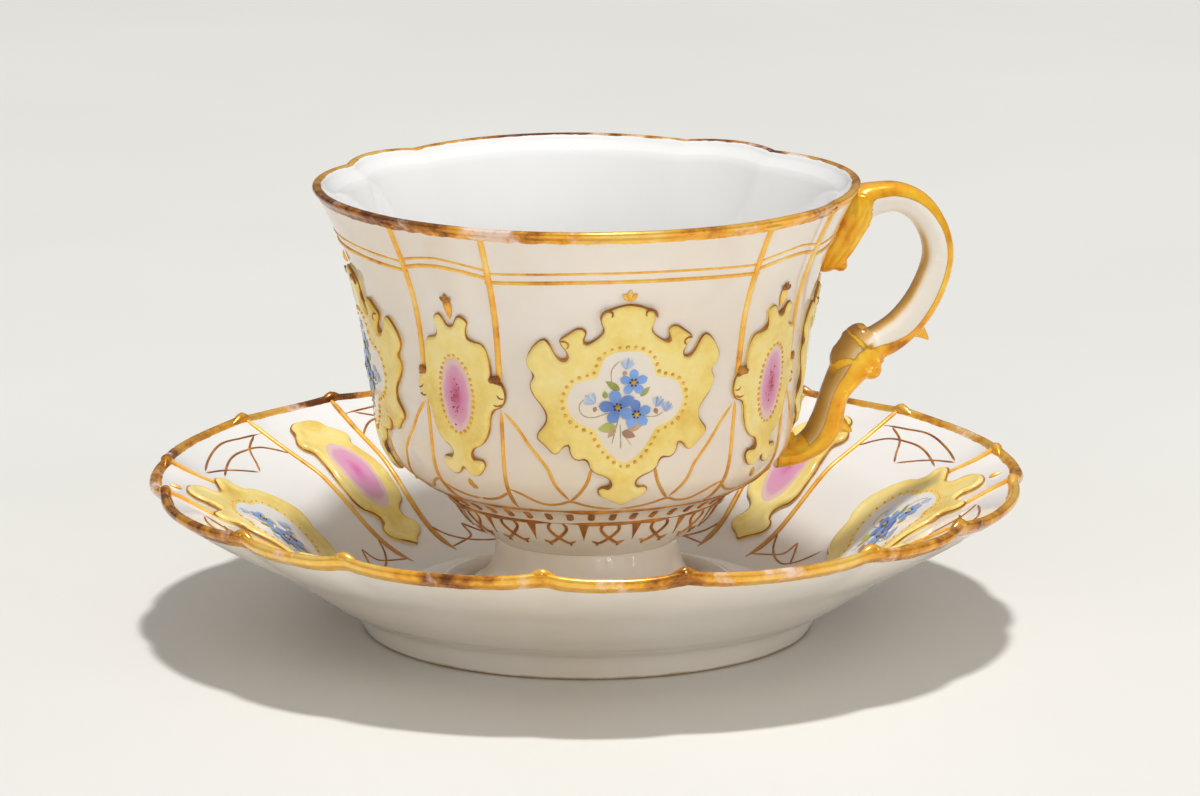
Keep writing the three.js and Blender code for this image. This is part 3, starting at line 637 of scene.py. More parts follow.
def wrapped(name, flat_mesh, lay, turn):
    """An object from a mesh drawn in the flat, laid on a body."""
    mesh = flat_mesh.copy()
    mesh.name = name
    places = np.empty(len(mesh.vertices) * 3, np.float32)
    mesh.vertices.foreach_get("co", places)
    mesh.vertices.foreach_set("co", (lay(places.reshape(-1, 3), turn) * MM).astype(np.float32).ravel())
    mesh.update()
    return add_object(name, mesh)


def stick_on(body, kind, side, flat_mesh, lay, turn):
    """Lays a sprig on its body, where it stands for the cartouche of that side."""
    sprig = wrapped(f"{body}_{kind}_sprig_{side}", flat_mesh, lay, turn)
    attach(sprig, body)
    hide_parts(f"{body}_{kind}_cartouche_{side}")


yellow_glaze, tree, shader = finish_of("yellow_glaze", Roughness=0.16, IOR=1.5)
field = ramp(tree, noise(tree, 95, 5, 0.65), (0.32, (0.80, 0.55, 0.10)), (0.5, (0.91, 0.72, 0.22)),
             (0.68, (0.94, 0.80, 0.36)))
worn_edge = unsteady(tree, attribute(tree, "edge"), 1.4, 150, 4)
near_edge = calc(tree, "MULTIPLY", between(tree, worn_edge, 0.85, 0.45), 0.5)
link(tree, blend(tree, near_edge, field, (0.66, 0.40, 0.07)), shader, "Base Color")
add_ripple(tree, shader, 300, 2, 0.08)


def pink_enamel(name, deep, middle):
    """Pink enamel that pales from the middle of an oval to its edge."""
    material, tree, shader = finish_of(name, Roughness=0.18)
    out = unsteady(tree, attribute(tree, "middle"), 0.25, 500, 3)
    pale = ((0.88, (0.73, 0.38, 0.51)), (1.05, (0.79, 0.55, 0.52)))
    link(tree, ramp(tree, out, (0.15, deep), (0.5, middle), *pale), shader, "Base Color")
    return material


def plain_glaze(name, ground):
    """Clear glaze over a ground colour."""
    material, tree, shader = finish_of(name, **GLAZE)
    link(tree, ground(tree), shader, "Base Color")
    add_ripple(tree, shader)
    return material


white_glaze = plain_glaze("white_glaze", white_ground)

saucer_flower_sprig = flat_sprig(
    "saucer_flower_sprig", whole(SAUCER_FLOWER_HALF), whole(SAUCER_WINDOW_HALF), yellow_glaze, white_glaze)
for side, degrees in FLOWER_SIDES.items():
    stick_on("saucer", "flower", side, saucer_flower_sprig, lay_on_saucer, saucer_angle(degrees))


def oval(middle, half_width, half_length):
    """A closed oval, anticlockwise."""
    angles = np.linspace(0, 2 * math.pi, 24, endpoint=False)
    return np.column_stack([half_width * np.cos(angles), middle + half_length * np.sin(angles)])


# The saucer's ovals get a paler copy of the cup's pink: painted light, for the brighter light on the saucer.
saucer_oval_sprig = flat_sprig(
    "saucer_oval_sprig", whole(SAUCER_OVAL_HALF), oval(*SAUCER_PINK), yellow_glaze,
    pink_enamel("pale_pink_enamel", (0.66, 0.14, 0.36), (0.74, 0.32, 0.54)))
for side, degrees in OVAL_SIDES.items():
    stick_on("saucer", "oval", side, saucer_oval_sprig, lay_on_saucer, saucer_angle(degrees))

# Saucer gilding: raised lines trailed on in slip and gilded. Ribs run in from the rim, where each ends
# in a pip, curved strapwork fills the wide panels, and every cartouche is edged with a fine line.
RIB = 0.56
EDGING = 0.12
STRAP = 0.27
LINE_SUNK = 0.1
EDGING_INSET = 0.06
EDGING_LIFT = 0.2
NOTCH_BEAD = 0.14
CREST_BEAD = 0.1
PIP = 1.0
PIP_SPREAD = math.radians(2.5)
PIP_RADIUS = 73.6
PIP_SUNK = 0.3
PIP_POINTS = 13
WIDE_RIB = [(74.6, 9), (70, 9.1), (64.8, 10.6)]
NARROW_RIB = [(74.6, 8.6), (60, 8.3), (46, 8.2), (36.5, 8.8)]
STRAPWORK = [
    [(67.9, 13.5), (69.6, 20), (71, 27), (70.2, 32), (69.3, 36)],
    [(65, 15.5), (67.4, 24), (67.6, 29), (66.7, 33), (62.8, 37)],
    [(69.6, 34.5), (67.6, 30.5), (64.4, 27.5), (62.2, 25)],
    [(67.8, 13), (65.8, 19), (62.2, 25)],
    [(45, 37), (41.5, 33.5), (39, 28), (38.2, 22), (40, 19.5), (44.5, 17)],
    [(37.8, 36.5), (39, 31.5), (40.6, 27.5), (43.8, 28)],
    [(43.8, 28), (41.2, 24), (39.2, 20.5)],
]

bead_tree, given = new_tree("trailed_line", ("Sides", "Int"), ("Gilding", "Material"))
tree = bead_tree
curve = node(tree, "GeometryNodeMeshToCurve", {"Mesh": given["Geometry"]})
profile = node(tree, "GeometryNodeCurvePrimitiveCircle", {"Resolution": given["Sides"], "Radius": 1.0})
tube = node(tree, "GeometryNodeCurveToMesh", {
    "Curve": curve.outputs[0], "Profile Curve": profile.outputs[0], "Scale": named(tree, "bead"),
    "Fill Caps": True,
})
end_tree(tree, tube.outputs[0], given["Gilding"])


def trailed(name, rows, material, sides=8):
    """One object of raised lines. Each row is its points, their bead radius, and whether it is closed."""
    places, radii, edges = [], [], []
    for points, bead, closed in rows:
        first = len(places)
        places.extend(points * MM)
        radii.extend(np.broadcast_to(bead, len(points)) * MM)
        edges.extend((first + i, first + i + 1) for i in range(len(points) - 1))
        if closed:
            edges.append((len(places) - 1, first))
    mesh = bpy.data.meshes.new(name)
    mesh.from_pydata(places, edges, [])
    mark(mesh, "bead", radii)
    made = grow(name, mesh, bead_tree, sides=sides, gilding=material)
    turn_outwards(made)
    return made


def lifted(points, proud):
    return np.column_stack([points, np.broadcast_to(proud, len(points))])


def tapered(count, bead, start=0.3, end=0.3):
    """Bead radii that thin out at both ends of a line."""
    way = np.linspace(0, 1, count)
    swell = 8
    return bead * np.minimum(np.minimum(start + way * swell, end + (1 - way) * swell), 1)


def uneven(count, bead, seed):
    """Bead radii as a hand lays them, between thin and full."""
    reach = 15
    wave = np.random.default_rng(seed).normal(size=count)
    kernel = np.hanning(reach) / np.hanning(reach).sum()
    wave = np.convolve(np.concatenate([wave[-reach:], wave, wave[:reach]]), kernel, "same")[reach:-reach]
    return bead * np.clip(1 + 1.3 * wave, 0.2, 1.7)


def follow(outline, inward, spacing):
    """Even points along an outline, moved inwards from it."""
    return even(pushed(even(smooth_ring(outline, 6), 0.3, True), inward), spacing, True)


def edging(outline, lay, turn, bead, seed):
    """The line drawn round a sprig, heavier on top and in its notches, and rubbed off in places."""
    line = follow(outline, EDGING_INSET, 0.35)
    before = line - np.roll(line, 3, axis=0)
    after = np.roll(line, -3, axis=0) - line
    swerve = before[:, 0] * after[:, 1] - before[:, 1] * after[:, 0]
    bend = np.arctan2(swerve, np.sum(before * after, axis=1))
    upper = np.clip(-after[:, 0] / np.linalg.norm(after, axis=1), 0, 1)
    size = uneven(len(line), bead, seed) + NOTCH_BEAD * np.clip(-bend, 0, 1) + CREST_BEAD * upper
    return lay(lifted(line, SPRIG_EDGE + EDGING_LIFT), turn), size, True


def ray_line(points):
    """Points given as (out from the axis, degrees off the panel's middle), as (across, out)."""
    reach, degrees = smooth(points, 8).T
    angle = np.radians(degrees)
    return even(np.column_stack([reach * np.sin(angle), reach * np.cos(angle)]), 0.5)


def saucer_line(into, points, turn, hand, bead):
    """Adds a line to a row list, on one hand of a panel's middle."""
    line = ray_line([(reach, away * hand) for reach, away in points])
    into.append((lay_on_saucer(lifted(line, -LINE_SUNK), turn), tapered(len(line), bead), False))


def swelling(share, bead, fullness):
    """Bead radii that swell in the middle of a short line."""
    return bead * np.maximum(np.cos(share * math.pi / 2), 0.1) ** fullness


def vary_gloss(tree, shader, grain, detail, low, high):
    """Lets the roughness wander between two values."""
    rough = node(tree, "ShaderNodeMapRange", {
        "Value": noise(tree, grain, detail), "To Min": low, "To Max": high,
    })
    link(tree, rough.outputs[0], shader, "Roughness")


def line_gold(name, brown_below, gold_above):
    """Trailed gold, orange above a height in millimetres and browner towards the foot."""
    material, tree, shader = finish_of(name, Metallic=0.12, Roughness=0.33)
    orange = ramp(tree, noise(tree, 160, 5, 0.65), (0.3, (0.60, 0.22, 0.02)), (0.43, (0.92, 0.44, 0.05)),
                  (0.58, (1.0, 0.60, 0.11)), (0.72, (1.0, 0.74, 0.28)))
    low = between(tree, level(tree), gold_above * MM, brown_below * MM)
    browner_low = calc(tree, "MULTIPLY", low, 0.75)
    link(tree, blend(tree, browner_low, orange, (0.38, 0.15, 0.03)), shader, "Base Color")
    vary_gloss(tree, shader, 500, 3, 0.22, 0.45)
    return material


saucer_line_gold = line_gold("saucer_line_gold", brown_below=8, gold_above=16)
brown_gold = mottled(
    "brown_gold", [220, 5, 0.6], (0.32, (0.22, 0.065, 0.01)), (0.5, (0.41, 0.15, 0.018)),
    (0.68, (0.64, 0.28, 0.04)), Metallic=0.12, Roughness=0.35)
burnished_gold, tree, shader = finish_of("burnished_gold", Roughness=0.2)
gold, metal = worn_gold(tree, 0.0)
link(tree, gold, shader, "Base Color")
link(tree, metal, shader, "Metallic")

rows, outlines, pips = [], [], []
for degrees in FLOWER_SIDES.values():
    turn = saucer_angle(degrees)
    for hand in (-1, 1):
        saucer_line(rows, WIDE_RIB, turn, hand, RIB)
        for figure in STRAPWORK:
            saucer_line(outlines, figure, turn, hand, STRAP)
    outlines.append(edging(whole(SAUCER_FLOWER_HALF), lay_on_saucer, turn, EDGING, degrees))
for degrees in OVAL_SIDES.values():
    turn = saucer_angle(degrees)
    for hand in (-1, 1):
        saucer_line(rows, NARROW_RIB, turn, hand, RIB)
    outlines.append(edging(whole(SAUCER_OVAL_HALF), lay_on_saucer, turn, EDGING, degrees))
for panel in range(SAUCER_PAIRS):
    for hand in (-1, 1):
        middle = SAUCER_TURN + 2 * math.pi * panel / SAUCER_PAIRS + hand * SAUCER_NARROW / 2
        share = np.linspace(-1, 1, PIP_POINTS)
        angle = middle + PIP_SPREAD * share
        x = PIP_RADIUS * np.cos(angle)
        y = PIP_RADIUS * np.sin(angle)
        ridge = np.column_stack([x, y, saucer_height(x, y) - PIP_SUNK])
        pips.append((ridge, swelling(share, PIP, 0.8), False))
for name, lines, gold, sides in (
        ("saucer_gilt_lines", rows, saucer_line_gold, 8), ("saucer_fine_lines", outlines, brown_gold, 6),
        ("saucer_rim_pips", pips, burnished_gold, 16)):
    made = trailed(name, lines, gold, sides)
    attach(made, "saucer")

# Cup foot: a ring of porcelain turned by itself, hollow below, and luted under the bowl with slip. Its
# clear glaze is painted a little creamier than the inside of the cup, as warm bounce light and shade.
FOOT_OUTSIDE = [(20.5, 5.3), (20.55, 6.3), (20, 7.3), (18.4, 8.3), (17, 10), (16.1, 12.5), (15.8, 15.9)]
FOOT_HOLLOW = [(0, 12.7), (9, 12.7), (12.6, 12.4), (15.4, 8.8), (17.9, 5.5), (18.8, 5.3)]
# A clear glaze painted creamy, as warm bounce light.
cream_glaze = plain_glaze("cream_glaze", bounce_warmed_ground)
foot_section = np.vstack([FOOT_HOLLOW, smooth(FOOT_OUTSIDE, 4), [(0, 15.9)]])
cup_foot = shell(
    "cup_foot_turned", foot_section, np.zeros(len(foot_section)), 0, cream_glaze,
    panel_pairs=4, narrow_panel=0.4, sharpness=1.0, notch=0.0, rise=0.0, turn=0.0,
)
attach(cup_foot, "cup")
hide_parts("cup_foot")

# Cup bowl: pressed porcelain, four wide and four narrow panels that meet in grooves, a waisted
# wall and a flared lip. Clear glaze inside and out, the lip gilded.
CUP_PAIRS = 4
CUP_NARROW = math.radians(24)
CUP_SHARPNESS = 2.0
CUP_NOTCH = 1.4
CUP_DIP = -0.4
CUP_SHOULDER = 28.2
CUP_TOP = 78.0
CUP_WALL = 2.6
CUP_FLOOR = 19.5
CUP_LIP_START = 76.8
CUP_INSIDE_TOP = 76
CUP_CORNER = 3.5
CUP_OUTSIDE = [
    (15.8, 15.7), (20.8, 19.3), (24.7, 24.3), (30.9, 28.2), (34.8, 33), (36.4, 41.5), (38, 52.6),
    (39.8, 61.5), (43, 69.8), (47.1, 78),
]
CUP_LIP = [(47.05, 77.3), (46.9, 77.9), (46.2, 78.05), (45.4, 77.7), (44.7, 76.9)]
cup_outside = smooth(CUP_OUTSIDE, 8)
cup_outside = cup_outside[cup_outside[:, 1] < CUP_LIP_START]


def cup_lobe(z):
    return np.clip((z - CUP_SHOULDER) / (CUP_TOP - CUP_SHOULDER), 0, 1)


along = unit(np.gradient(cup_outside, axis=0))
inside = cup_outside + CUP_WALL * np.column_stack([-along[:, 1], along[:, 0]])
inside = inside[(inside[:, 1] > CUP_FLOOR + 2) & (inside[:, 1] < CUP_INSIDE_TOP)][::-1]
cup_section = np.vstack([
    [(0, 15.7)], cup_outside, smooth([cup_outside[-1], *CUP_LIP, inside[0]], 4)[1:-1], inside,
    smooth([inside[-1], (inside[-1][0] - CUP_CORNER, CUP_FLOOR + 0.5), (10, CUP_FLOOR)], 4)[1:],
    [(0, CUP_FLOOR)],
])
# The cup's outside is painted creamier than its inside, as warm bounce light.
cup_porcelain = gilded_porcelain("cup_porcelain", low=-2.9, high=0.9, bounce_side=-0.5, browned=0.04)
cup_wall = shell(
    "cup_wall", cup_section, cup_lobe(cup_section[:, 1]), cup_section[:, 1].argmax(), cup_porcelain,
    panel_pairs=CUP_PAIRS, narrow_panel=CUP_NARROW, sharpness=CUP_SHARPNESS,
    notch=CUP_NOTCH * MM, rise=CUP_DIP * MM, turn=0.0,
)
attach(cup_wall, "cup")
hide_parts("cup_bowl")

# Cup cartouches: pressed and stuck on like the saucer's, a large one on each wide panel and a small one
# on each narrow panel. The one at the handle is trimmed above and below, where the handle is stuck on.
CUP_FLOWER_HALF = [
    (0, 64.9), (1.7, 64.6), (3, 64.1), (4.1, 63.7), (4.6, 62.7), (4.4, 61.5), (4, 60.4), (4.4, 59.5),
    (5.3, 58.7), (6.4, 58), (7.1, 58), (7.2, 58.8), (6.9, 59.9), (7.5, 60.6), (8.4, 60.6), (9.4, 59.9),
    (10.3, 59.2), (11, 58.6), (10.7, 57.6), (10, 56.7), (9.6, 55.7), (10, 55), (10.9, 55.1),
    (11.8, 56.2), (12.5, 57.6), (13.3, 58.6), (14.1, 58.4), (15.1, 57.3), (15.8, 56), (16.15, 54.6),
    (15.7, 53.3), (14.9, 52.3), (15, 51.6), (15.4, 50.7), (15.2, 49.6), (14.5, 48.2), (13.5, 46.9),
    (12.8, 45.5), (12.8, 44), (13.4, 42.9), (14, 42), (14, 41), (13.2, 40.2), (12.3, 39.2),
    (11.5, 38.4), (10.7, 38.6), (9.9, 39.7), (9.1, 40), (8.9, 38.8), (8.4, 37.8), (7.5, 37.4),
    (6.5, 37.6), (5.9, 37), (5.6, 36), (4.7, 35.1), (3.4, 34.6), (2.4, 34), (2, 33.2), (2.4, 32.5),
    (3.6, 32.5), (4.1, 31.9), (3.5, 30.8), (2, 30.1), (0.8, 29.3), (0, 29),
]
CUP_WINDOW_HALF = [
    (0, 56.6), (2.3, 56.3), (3.8, 55.2), (4.4, 53.5), (5, 52), (6.6, 51.6), (8.3, 50.9), (9.3, 49.2),
    (9.5, 47.3), (8.8, 45.3), (7.2, 43.9), (5.2, 43), (4.3, 41.5), (3.2, 39.6), (1.8, 38.1), (0, 37),
]
CUP_OVAL_HALF = [
    (0, 59.5), (0.7, 59.8), (1.2, 60.7), (1.9, 61.5), (2.8, 61.3), (3.4, 60.5), (3.1, 59.7),
    (2.9, 58.8), (3.1, 57.7), (4.2, 57.2), (5.3, 57), (6, 56.1), (6.4, 54.3), (6.5, 52.5), (6.5, 51.1),
    (7.3, 50.7), (8.1, 50.2), (8.6, 49.3), (8.75, 48), (8.4, 46.8), (7.7, 46), (6.6, 45.5), (6, 44.3),
    (5.6, 42.2), (4.9, 40.3), (3.7, 38.8), (2.4, 38.2), (1.9, 37.3), (2.1, 36.4), (3, 36.3),
    (3.9, 36.2), (4.2, 35.4), (3.7, 34.4), (2.8, 33.5), (1.7, 33.3), (0.8, 33.8), (0, 34.8),
]
CUP_PINK = (47.6, 2.95, 6.5)
CUP_FLOWER_SIDES = {"back": 90, "left": 180, "front": 270}
HANDLE_TRIM = (31.8, 61.5)
cup_heights = cup_outside[:, 1]
cup_radii = cup_outside[:, 0]


def cup_place(angle, z):
    """A place on the cup's outside."""
    dip = panel_dip(angle, CUP_PAIRS, CUP_NARROW, CUP_SHARPNESS) * cup_lobe(z)
    radius = np.interp(z, cup_heights, cup_radii) - CUP_NOTCH * dip
    return np.column_stack([radius * np.cos(angle), radius * np.sin(angle), z + CUP_DIP * dip])


def lay_on_cup(flat, turn):
    """Lays flat points (across, height, out from the glaze) on the cup's outside, turned in radians."""
    across, z, proud = np.asarray(flat, float).T
    angle = np.full(len(z), turn)
    for _ in range(5):
        place = cup_place(angle, z)
        angle = turn + np.arcsin(np.clip(across / np.hypot(place[:, 0], place[:, 1]), -1, 1))
    turn_step = 0.006
    rise_step = 0.3
    around = cup_place(angle + turn_step, z) - cup_place(angle - turn_step, z)
    upward = cup_place(angle, z + rise_step) - cup_place(angle, z - rise_step)
    return cup_place(angle, z) + unit(np.cross(around, upward)) * proud[:, None]


def trim(outline, low, high):
    """An outline cut off flat below and above."""
    ring = even(smooth_ring(outline, 6), 0.5, True)
    return np.column_stack([ring[:, 0], np.clip(ring[:, 1], low, high)])


# The cup's windows take the creamier glaze too, painted warm bounce light like the rest of the cup's
# outside.
cup_flower_sprig = flat_sprig(
    "cup_flower_sprig", whole(CUP_FLOWER_HALF), whole(CUP_WINDOW_HALF), yellow_glaze, cream_glaze)
trimmed_ring = trim(whole(CUP_FLOWER_HALF), *HANDLE_TRIM)
step = np.linalg.norm(trimmed_ring - np.roll(trimmed_ring, 1, axis=0), axis=1)
trimmed_ring = trimmed_ring[step > 0.05]
trimmed_sprig = flat_sprig("trimmed_sprig", trimmed_ring, whole(CUP_WINDOW_HALF), yellow_glaze, cream_glaze)
for side, degrees in CUP_FLOWER_SIDES.items():
    stick_on("cup", "flower", side, cup_flower_sprig, lay_on_cup, math.radians(degrees))
stick_on("cup", "flower", "handle", trimmed_sprig, lay_on_cup, 0.0)
cup_oval_sprig = flat_sprig(
    "cup_oval_sprig", whole(CUP_OVAL_HALF), oval(*CUP_PINK), yellow_glaze,
    pink_enamel("deep_pink_enamel", (0.54, 0.09, 0.16), (0.68, 0.24, 0.42)))
for side, degrees in OVAL_SIDES.items():
    stick_on("cup", "oval", side, cup_oval_sprig, lay_on_cup, math.radians(degrees))

# Handle: porcelain cast in a mould of two halves with its leaf, collar, knob and thorns, and luted on
# under the lip and at the foot of the wall. Gilded along its back and on the leaf, with a brown wash on the
# inner side of collar and tail that is painted darker towards the inner edge as shade, and a tan of painted
# shade and reflected gold along the inner side of the loop; the sides of the loop stay white.
HANDLE_LOOP = [
    (46.2, 71.4, 6, 8.4), (48.6, 72.7, 6.2, 7.4), (51, 73.3, 5.6, 6.2), (53.8, 73.5, 5.2, 5.7),
    (56.4, 72.7, 5.2, 5.6), (58.6, 71.1, 5.2, 5.6), (60.3, 68.7, 5.2, 5.6), (61.4, 66.1, 5.3, 5.6),
    (61.8, 63.3, 5.4, 5.6), (61.3, 60.2, 5.6, 5.6), (59.9, 56.6, 5.8, 5.7), (57.9, 53.3, 5.9, 5.8),
    (55.3, 50.4, 6, 5.9), (52.4, 48.4, 6, 6), (49.6, 47.2, 5.6, 6),
]
HANDLE_TAIL = [
    (49, 46.6, 7, 7), (47.3, 44.8, 7.4, 7), (45.4, 42.1, 6.2, 6.4), (43.7, 39.1, 5.1, 5.7),
    (42.8, 36, 5.3, 5.7), (42, 33.4, 5.8, 5.9), (40.5, 31.1, 5.4, 6.2), (38.2, 29.5, 4.6, 6.8),
    (36, 28.8, 4.6, 7.6), (32.9, 28.7, 5, 8.4),
]
HANDLE_COLLAR = [
    (50.6, 48.5, 6.2, 6.4), (49.6, 47.8, 8.2, 7.6), (48.7, 46.9, 8.6, 8), (47.6, 46.1, 7.6, 7.4),
    (47, 45, 8.2, 7.6), (46.2, 43.9, 7.6, 7.2), (45.7, 42.8, 5.8, 6.2),
]
HANDLE_LEAF = [
    (47.6, 74.6, 4.4, 8), (47.2, 72.6, 6.4, 9.6), (46.4, 70.4, 6.8, 10.2), (45.3, 68.2, 6.5, 9.2),
    (44.3, 66.2, 6.2, 8.6), (43.2, 64.3, 5.8, 7.2), (42.3, 62.6, 4.9, 5.8), (41.9, 61.4, 3.8, 4.2),
    (41.9, 60.7, 2, 2.2),
]
HANDLE_KNOBS = [(50.1, 43.1, 1.9, 2.5), (46.2, 48.7, 1.3, 3), (44.4, 61.9, 1.3, 2.6), (48.6, 69, 1.1, 2.4)]
HANDLE_THORNS = [
    ((57.4, 50.6), (60.5, 47.8), 1.7), ((43.6, 34), (47, 31.9), 1.9), ((35.6, 30.8), (36.4, 32.4), 1.6),
]
THORN_STEPS = [(0, 1), (0.35, 0.8), (0.65, 0.45), (0.9, 0.2), (1, 0.08)]
FUSE_VOXEL = 0.26 * MM
WHITE_START = 0.02
WHITE_FULL = 0.12
BACK_SHARE = 0.45
ALL_GILT = -1.4
BRUSH_SOFTNESS = 0.08
INNER_WASH_AND_SHADE = 0.42
LUMP_GAP = 1.15
TAIL_END = 0.74
TAIL_LUMP_GAP = 1.2
COLLAR_BANDS = [(0.3, 0.05), (0.62, 0.4)]


def swept(work, sections, sides=28, boxy=0.8, ridges=0, depth=0.0):
    """Adds a closed tube through sections (out, up, thick, wide) in the handle's plane."""
    fine = smooth(sections, 5)
    along = unit(np.gradient(fine[:, :2], axis=0))
    turn = np.linspace(0, 2 * math.pi, sides, endpoint=False)
    across, aside = (
        np.sign(way) * np.abs(way) ** boxy * (1 + depth * np.cos(ridges * turn))
        for way in (np.cos(turn), np.sin(turn))
    )
    rings = []
    for (x, z, thick, wide), (run, climb) in zip(fine, along):
        places = np.column_stack([
            x - climb * across * thick / 2, aside * wide / 2, z + run * across * thick / 2,
        ])
        rings.append([work.verts.new(place * MM) for place in places])
    for first, second in zip(rings, rings[1:]):
        for i in range(sides):
            work.faces.new((first[i], first[i - 1], second[i - 1], second[i]))
    work.faces.new(rings[0])
    work.faces.new(rings[-1][::-1])


def ball_at(work, x, z, radius, half_width):
    """Adds a rounded lump that lies across the handle."""
    made = bmesh.ops.create_uvsphere(work, u_segments=20, v_segments=12, radius=1.0)
    for vertex in made["verts"]:
        out, across, up = vertex.co
        vertex.co = Vector((x + out * radius, across * half_width, z + up * radius)) * MM


def thorn(work, foot, tip, radius):
    """Adds a thorn from its foot to its tip."""
    foot = np.array(foot)
    sections = [
        (*(foot + share * (np.array(tip) - foot)), 2 * radius * size, 2 * radius * size)
        for share, size in THORN_STEPS
    ]
    swept(work, sections, 14, 1.0)


work = bmesh.new()
swept(work, HANDLE_LOOP)
swept(work, HANDLE_TAIL, boxy=0.9)
swept(work, HANDLE_COLLAR, boxy=0.9)
swept(work, HANDLE_LEAF, 48, 1.0, 9, 0.05)
for lump in HANDLE_KNOBS:
    ball_at(work, *lump)
for foot, tip, radius in HANDLE_THORNS:
    thorn(work, foot, tip, radius)
bmesh.ops.recalc_face_normals(work, faces=work.faces)
handle_mesh = bpy.data.meshes.new("handle_parts")
work.to_mesh(handle_mesh)
work.free()
handle = add_object("handle_cast", handle_mesh)
remesh = handle.modifiers.new("fuse", "REMESH")
remesh.mode = "VOXEL"
remesh.voxel_size = FUSE_VOXEL
soften = handle.modifiers.new("soften", "SMOOTH")
soften.factor = 0.5
soften.iterations = 5
fused = bpy.data.meshes.new_from_object(handle.evaluated_get(bpy.context.evaluated_depsgraph_get()))
handle.modifiers.clear()
handle.data = fused
fused.name = "handle_cast"
fused.shade_smooth()


def path_of(sections):
    """Fine points of a path, their outward directions and half thicknesses."""
    fine = smooth(sections, 8)
    along = unit(np.gradient(fine[:, :2], axis=0))
    return fine[:, :2], np.column_stack([-along[:, 1], along[:, 0]]), fine[:, 2] / 2


def off_path(places, sections):
    """For each place: how far it is off the path, its share of the path, and how far it lies outwards."""
    points, outward, half = path_of(sections)
    gap = np.linalg.norm(places[:, None, :] - points[None], axis=2)
    near = gap.argmin(axis=1)
    out = np.sum((places - points[near]) * outward[near], axis=1) / half[near]
    return gap.min(axis=1) / half[near], near / (len(points) - 1), out


def step_between(low, high, value):
    """A soft step from 0 at low to 1 at high."""
    share = np.clip((value - low) / (high - low), 0, 1)
    return share * share * (3 - 2 * share)


# How gilded each point is: 1 is gold, about 0.5 a brown wash, and 0 white. Part of the brown is painted
# shade: the wash darkens towards the inner side of tail and collar, and the tan along the loop's inner side
# stands for shade and reflected gold. Places are told by their share of the loop, tail or collar and by how
# far out they lie, from -1 on its inner side to 1 on its back.
places = np.empty(len(fused.vertices) * 3, np.float32)
fused.vertices.foreach_get("co", places)
places = places.reshape(-1, 3)[:, [0, 2]] / MM
loop_gap, loop_share, loop_out = off_path(places, HANDLE_LOOP)
tail_gap, tail_share, tail_out = off_path(places, HANDLE_TAIL)
collar_gap, collar_share, collar_out = off_path(places, HANDLE_COLLAR)
white_share = step_between(WHITE_START, WHITE_FULL, loop_share)
limit = ALL_GILT + (BACK_SHARE + 1.2 - 0.25 * step_between(0.5, 0.2, loop_share) + 0.2) * white_share
limit = limit - 0.5 * step_between(0.82, 1.0, loop_share)
loop_gilt_and_shade = step_between(limit - BRUSH_SOFTNESS, limit + BRUSH_SOFTNESS, loop_out)
# Tan along the inner side of the loop's lower half: painted shade and reflected gold.
inner_wash_and_shade = INNER_WASH_AND_SHADE * step_between(-0.5, -0.95, loop_out) * step_between(0.3, 0.5, loop_share)
loop_gilt_and_shade = np.maximum(loop_gilt_and_shade, inner_wash_and_shade)
loop_gilt_and_shade = np.where(loop_gap > LUMP_GAP, 1, loop_gilt_and_shade)
# Tail and collar: a brown wash, painted darker towards the inner side as shade.
tail_gilt_and_shade = 0.17 - 0.41 * np.minimum(tail_out, 0) + 0.8 * step_between(-0.36, -0.2, tail_out)
tail_gilt_and_shade = np.where((tail_share > TAIL_END) | (tail_gap > TAIL_LUMP_GAP), 1, tail_gilt_and_shade)
collar_gilt_and_shade = 0.16 - 0.4 * np.minimum(collar_out, 0) + 0.8 * step_between(-0.25, -0.1, collar_out)
for middle, tilt in COLLAR_BANDS:
    band = step_between(0.12, 0.05, np.abs(collar_share - middle + tilt * collar_out))
    collar_gilt_and_shade = np.maximum(collar_gilt_and_shade, band)
pull = [np.exp(-6 * np.minimum(gap, 3.0) ** 2) for gap in (loop_gap, tail_gap, collar_gap)]
pull[2] = pull[2] * step_between(0.12, 0.3, collar_share)
gilt = (pull[0] * loop_gilt_and_shade + pull[1] * tail_gilt_and_shade + pull[2] * collar_gilt_and_shade) / (pull[0] + pull[1] + pull[2])
mark(fused, "gilt", gilt)

handle_finish, tree, shader = finish_of("handle_finish")
cover = wavering(tree, attribute(tree, "gilt"), 0.18, 260, 4)
tone = noise(tree, 120, 5, 0.65)
gold = ramp(tree, tone, (0.34, (0.46, 0.15, 0.01)), (0.48, (0.92, 0.42, 0.015)), (0.68, (1.0, 0.63, 0.05)))
# White through tan to brown: the wash and the painted shade on the handle's inner side.
washed_and_shaded = ramp(
    tree, cover, (0.0, (0.85, 0.80, 0.72)), (0.18, (0.82, 0.72, 0.58)), (0.38, (0.62, 0.38, 0.11)),
    (0.6, (0.42, 0.20, 0.02)),
)
is_gold = between(tree, cover, 0.62, 0.78)
link(tree, blend(tree, is_gold, washed_and_shaded, gold), shader, "Base Color")
link(tree, calc(tree, "MULTIPLY", is_gold, 0.28), shader, "Metallic")
vary_gloss(tree, shader, 300, 4, 0.12, 0.34)
add_ripple(tree, shader, 260, 3, 0.12)
fused.materials.append(handle_finish)
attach(handle, "cup")
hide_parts("cup_handle")

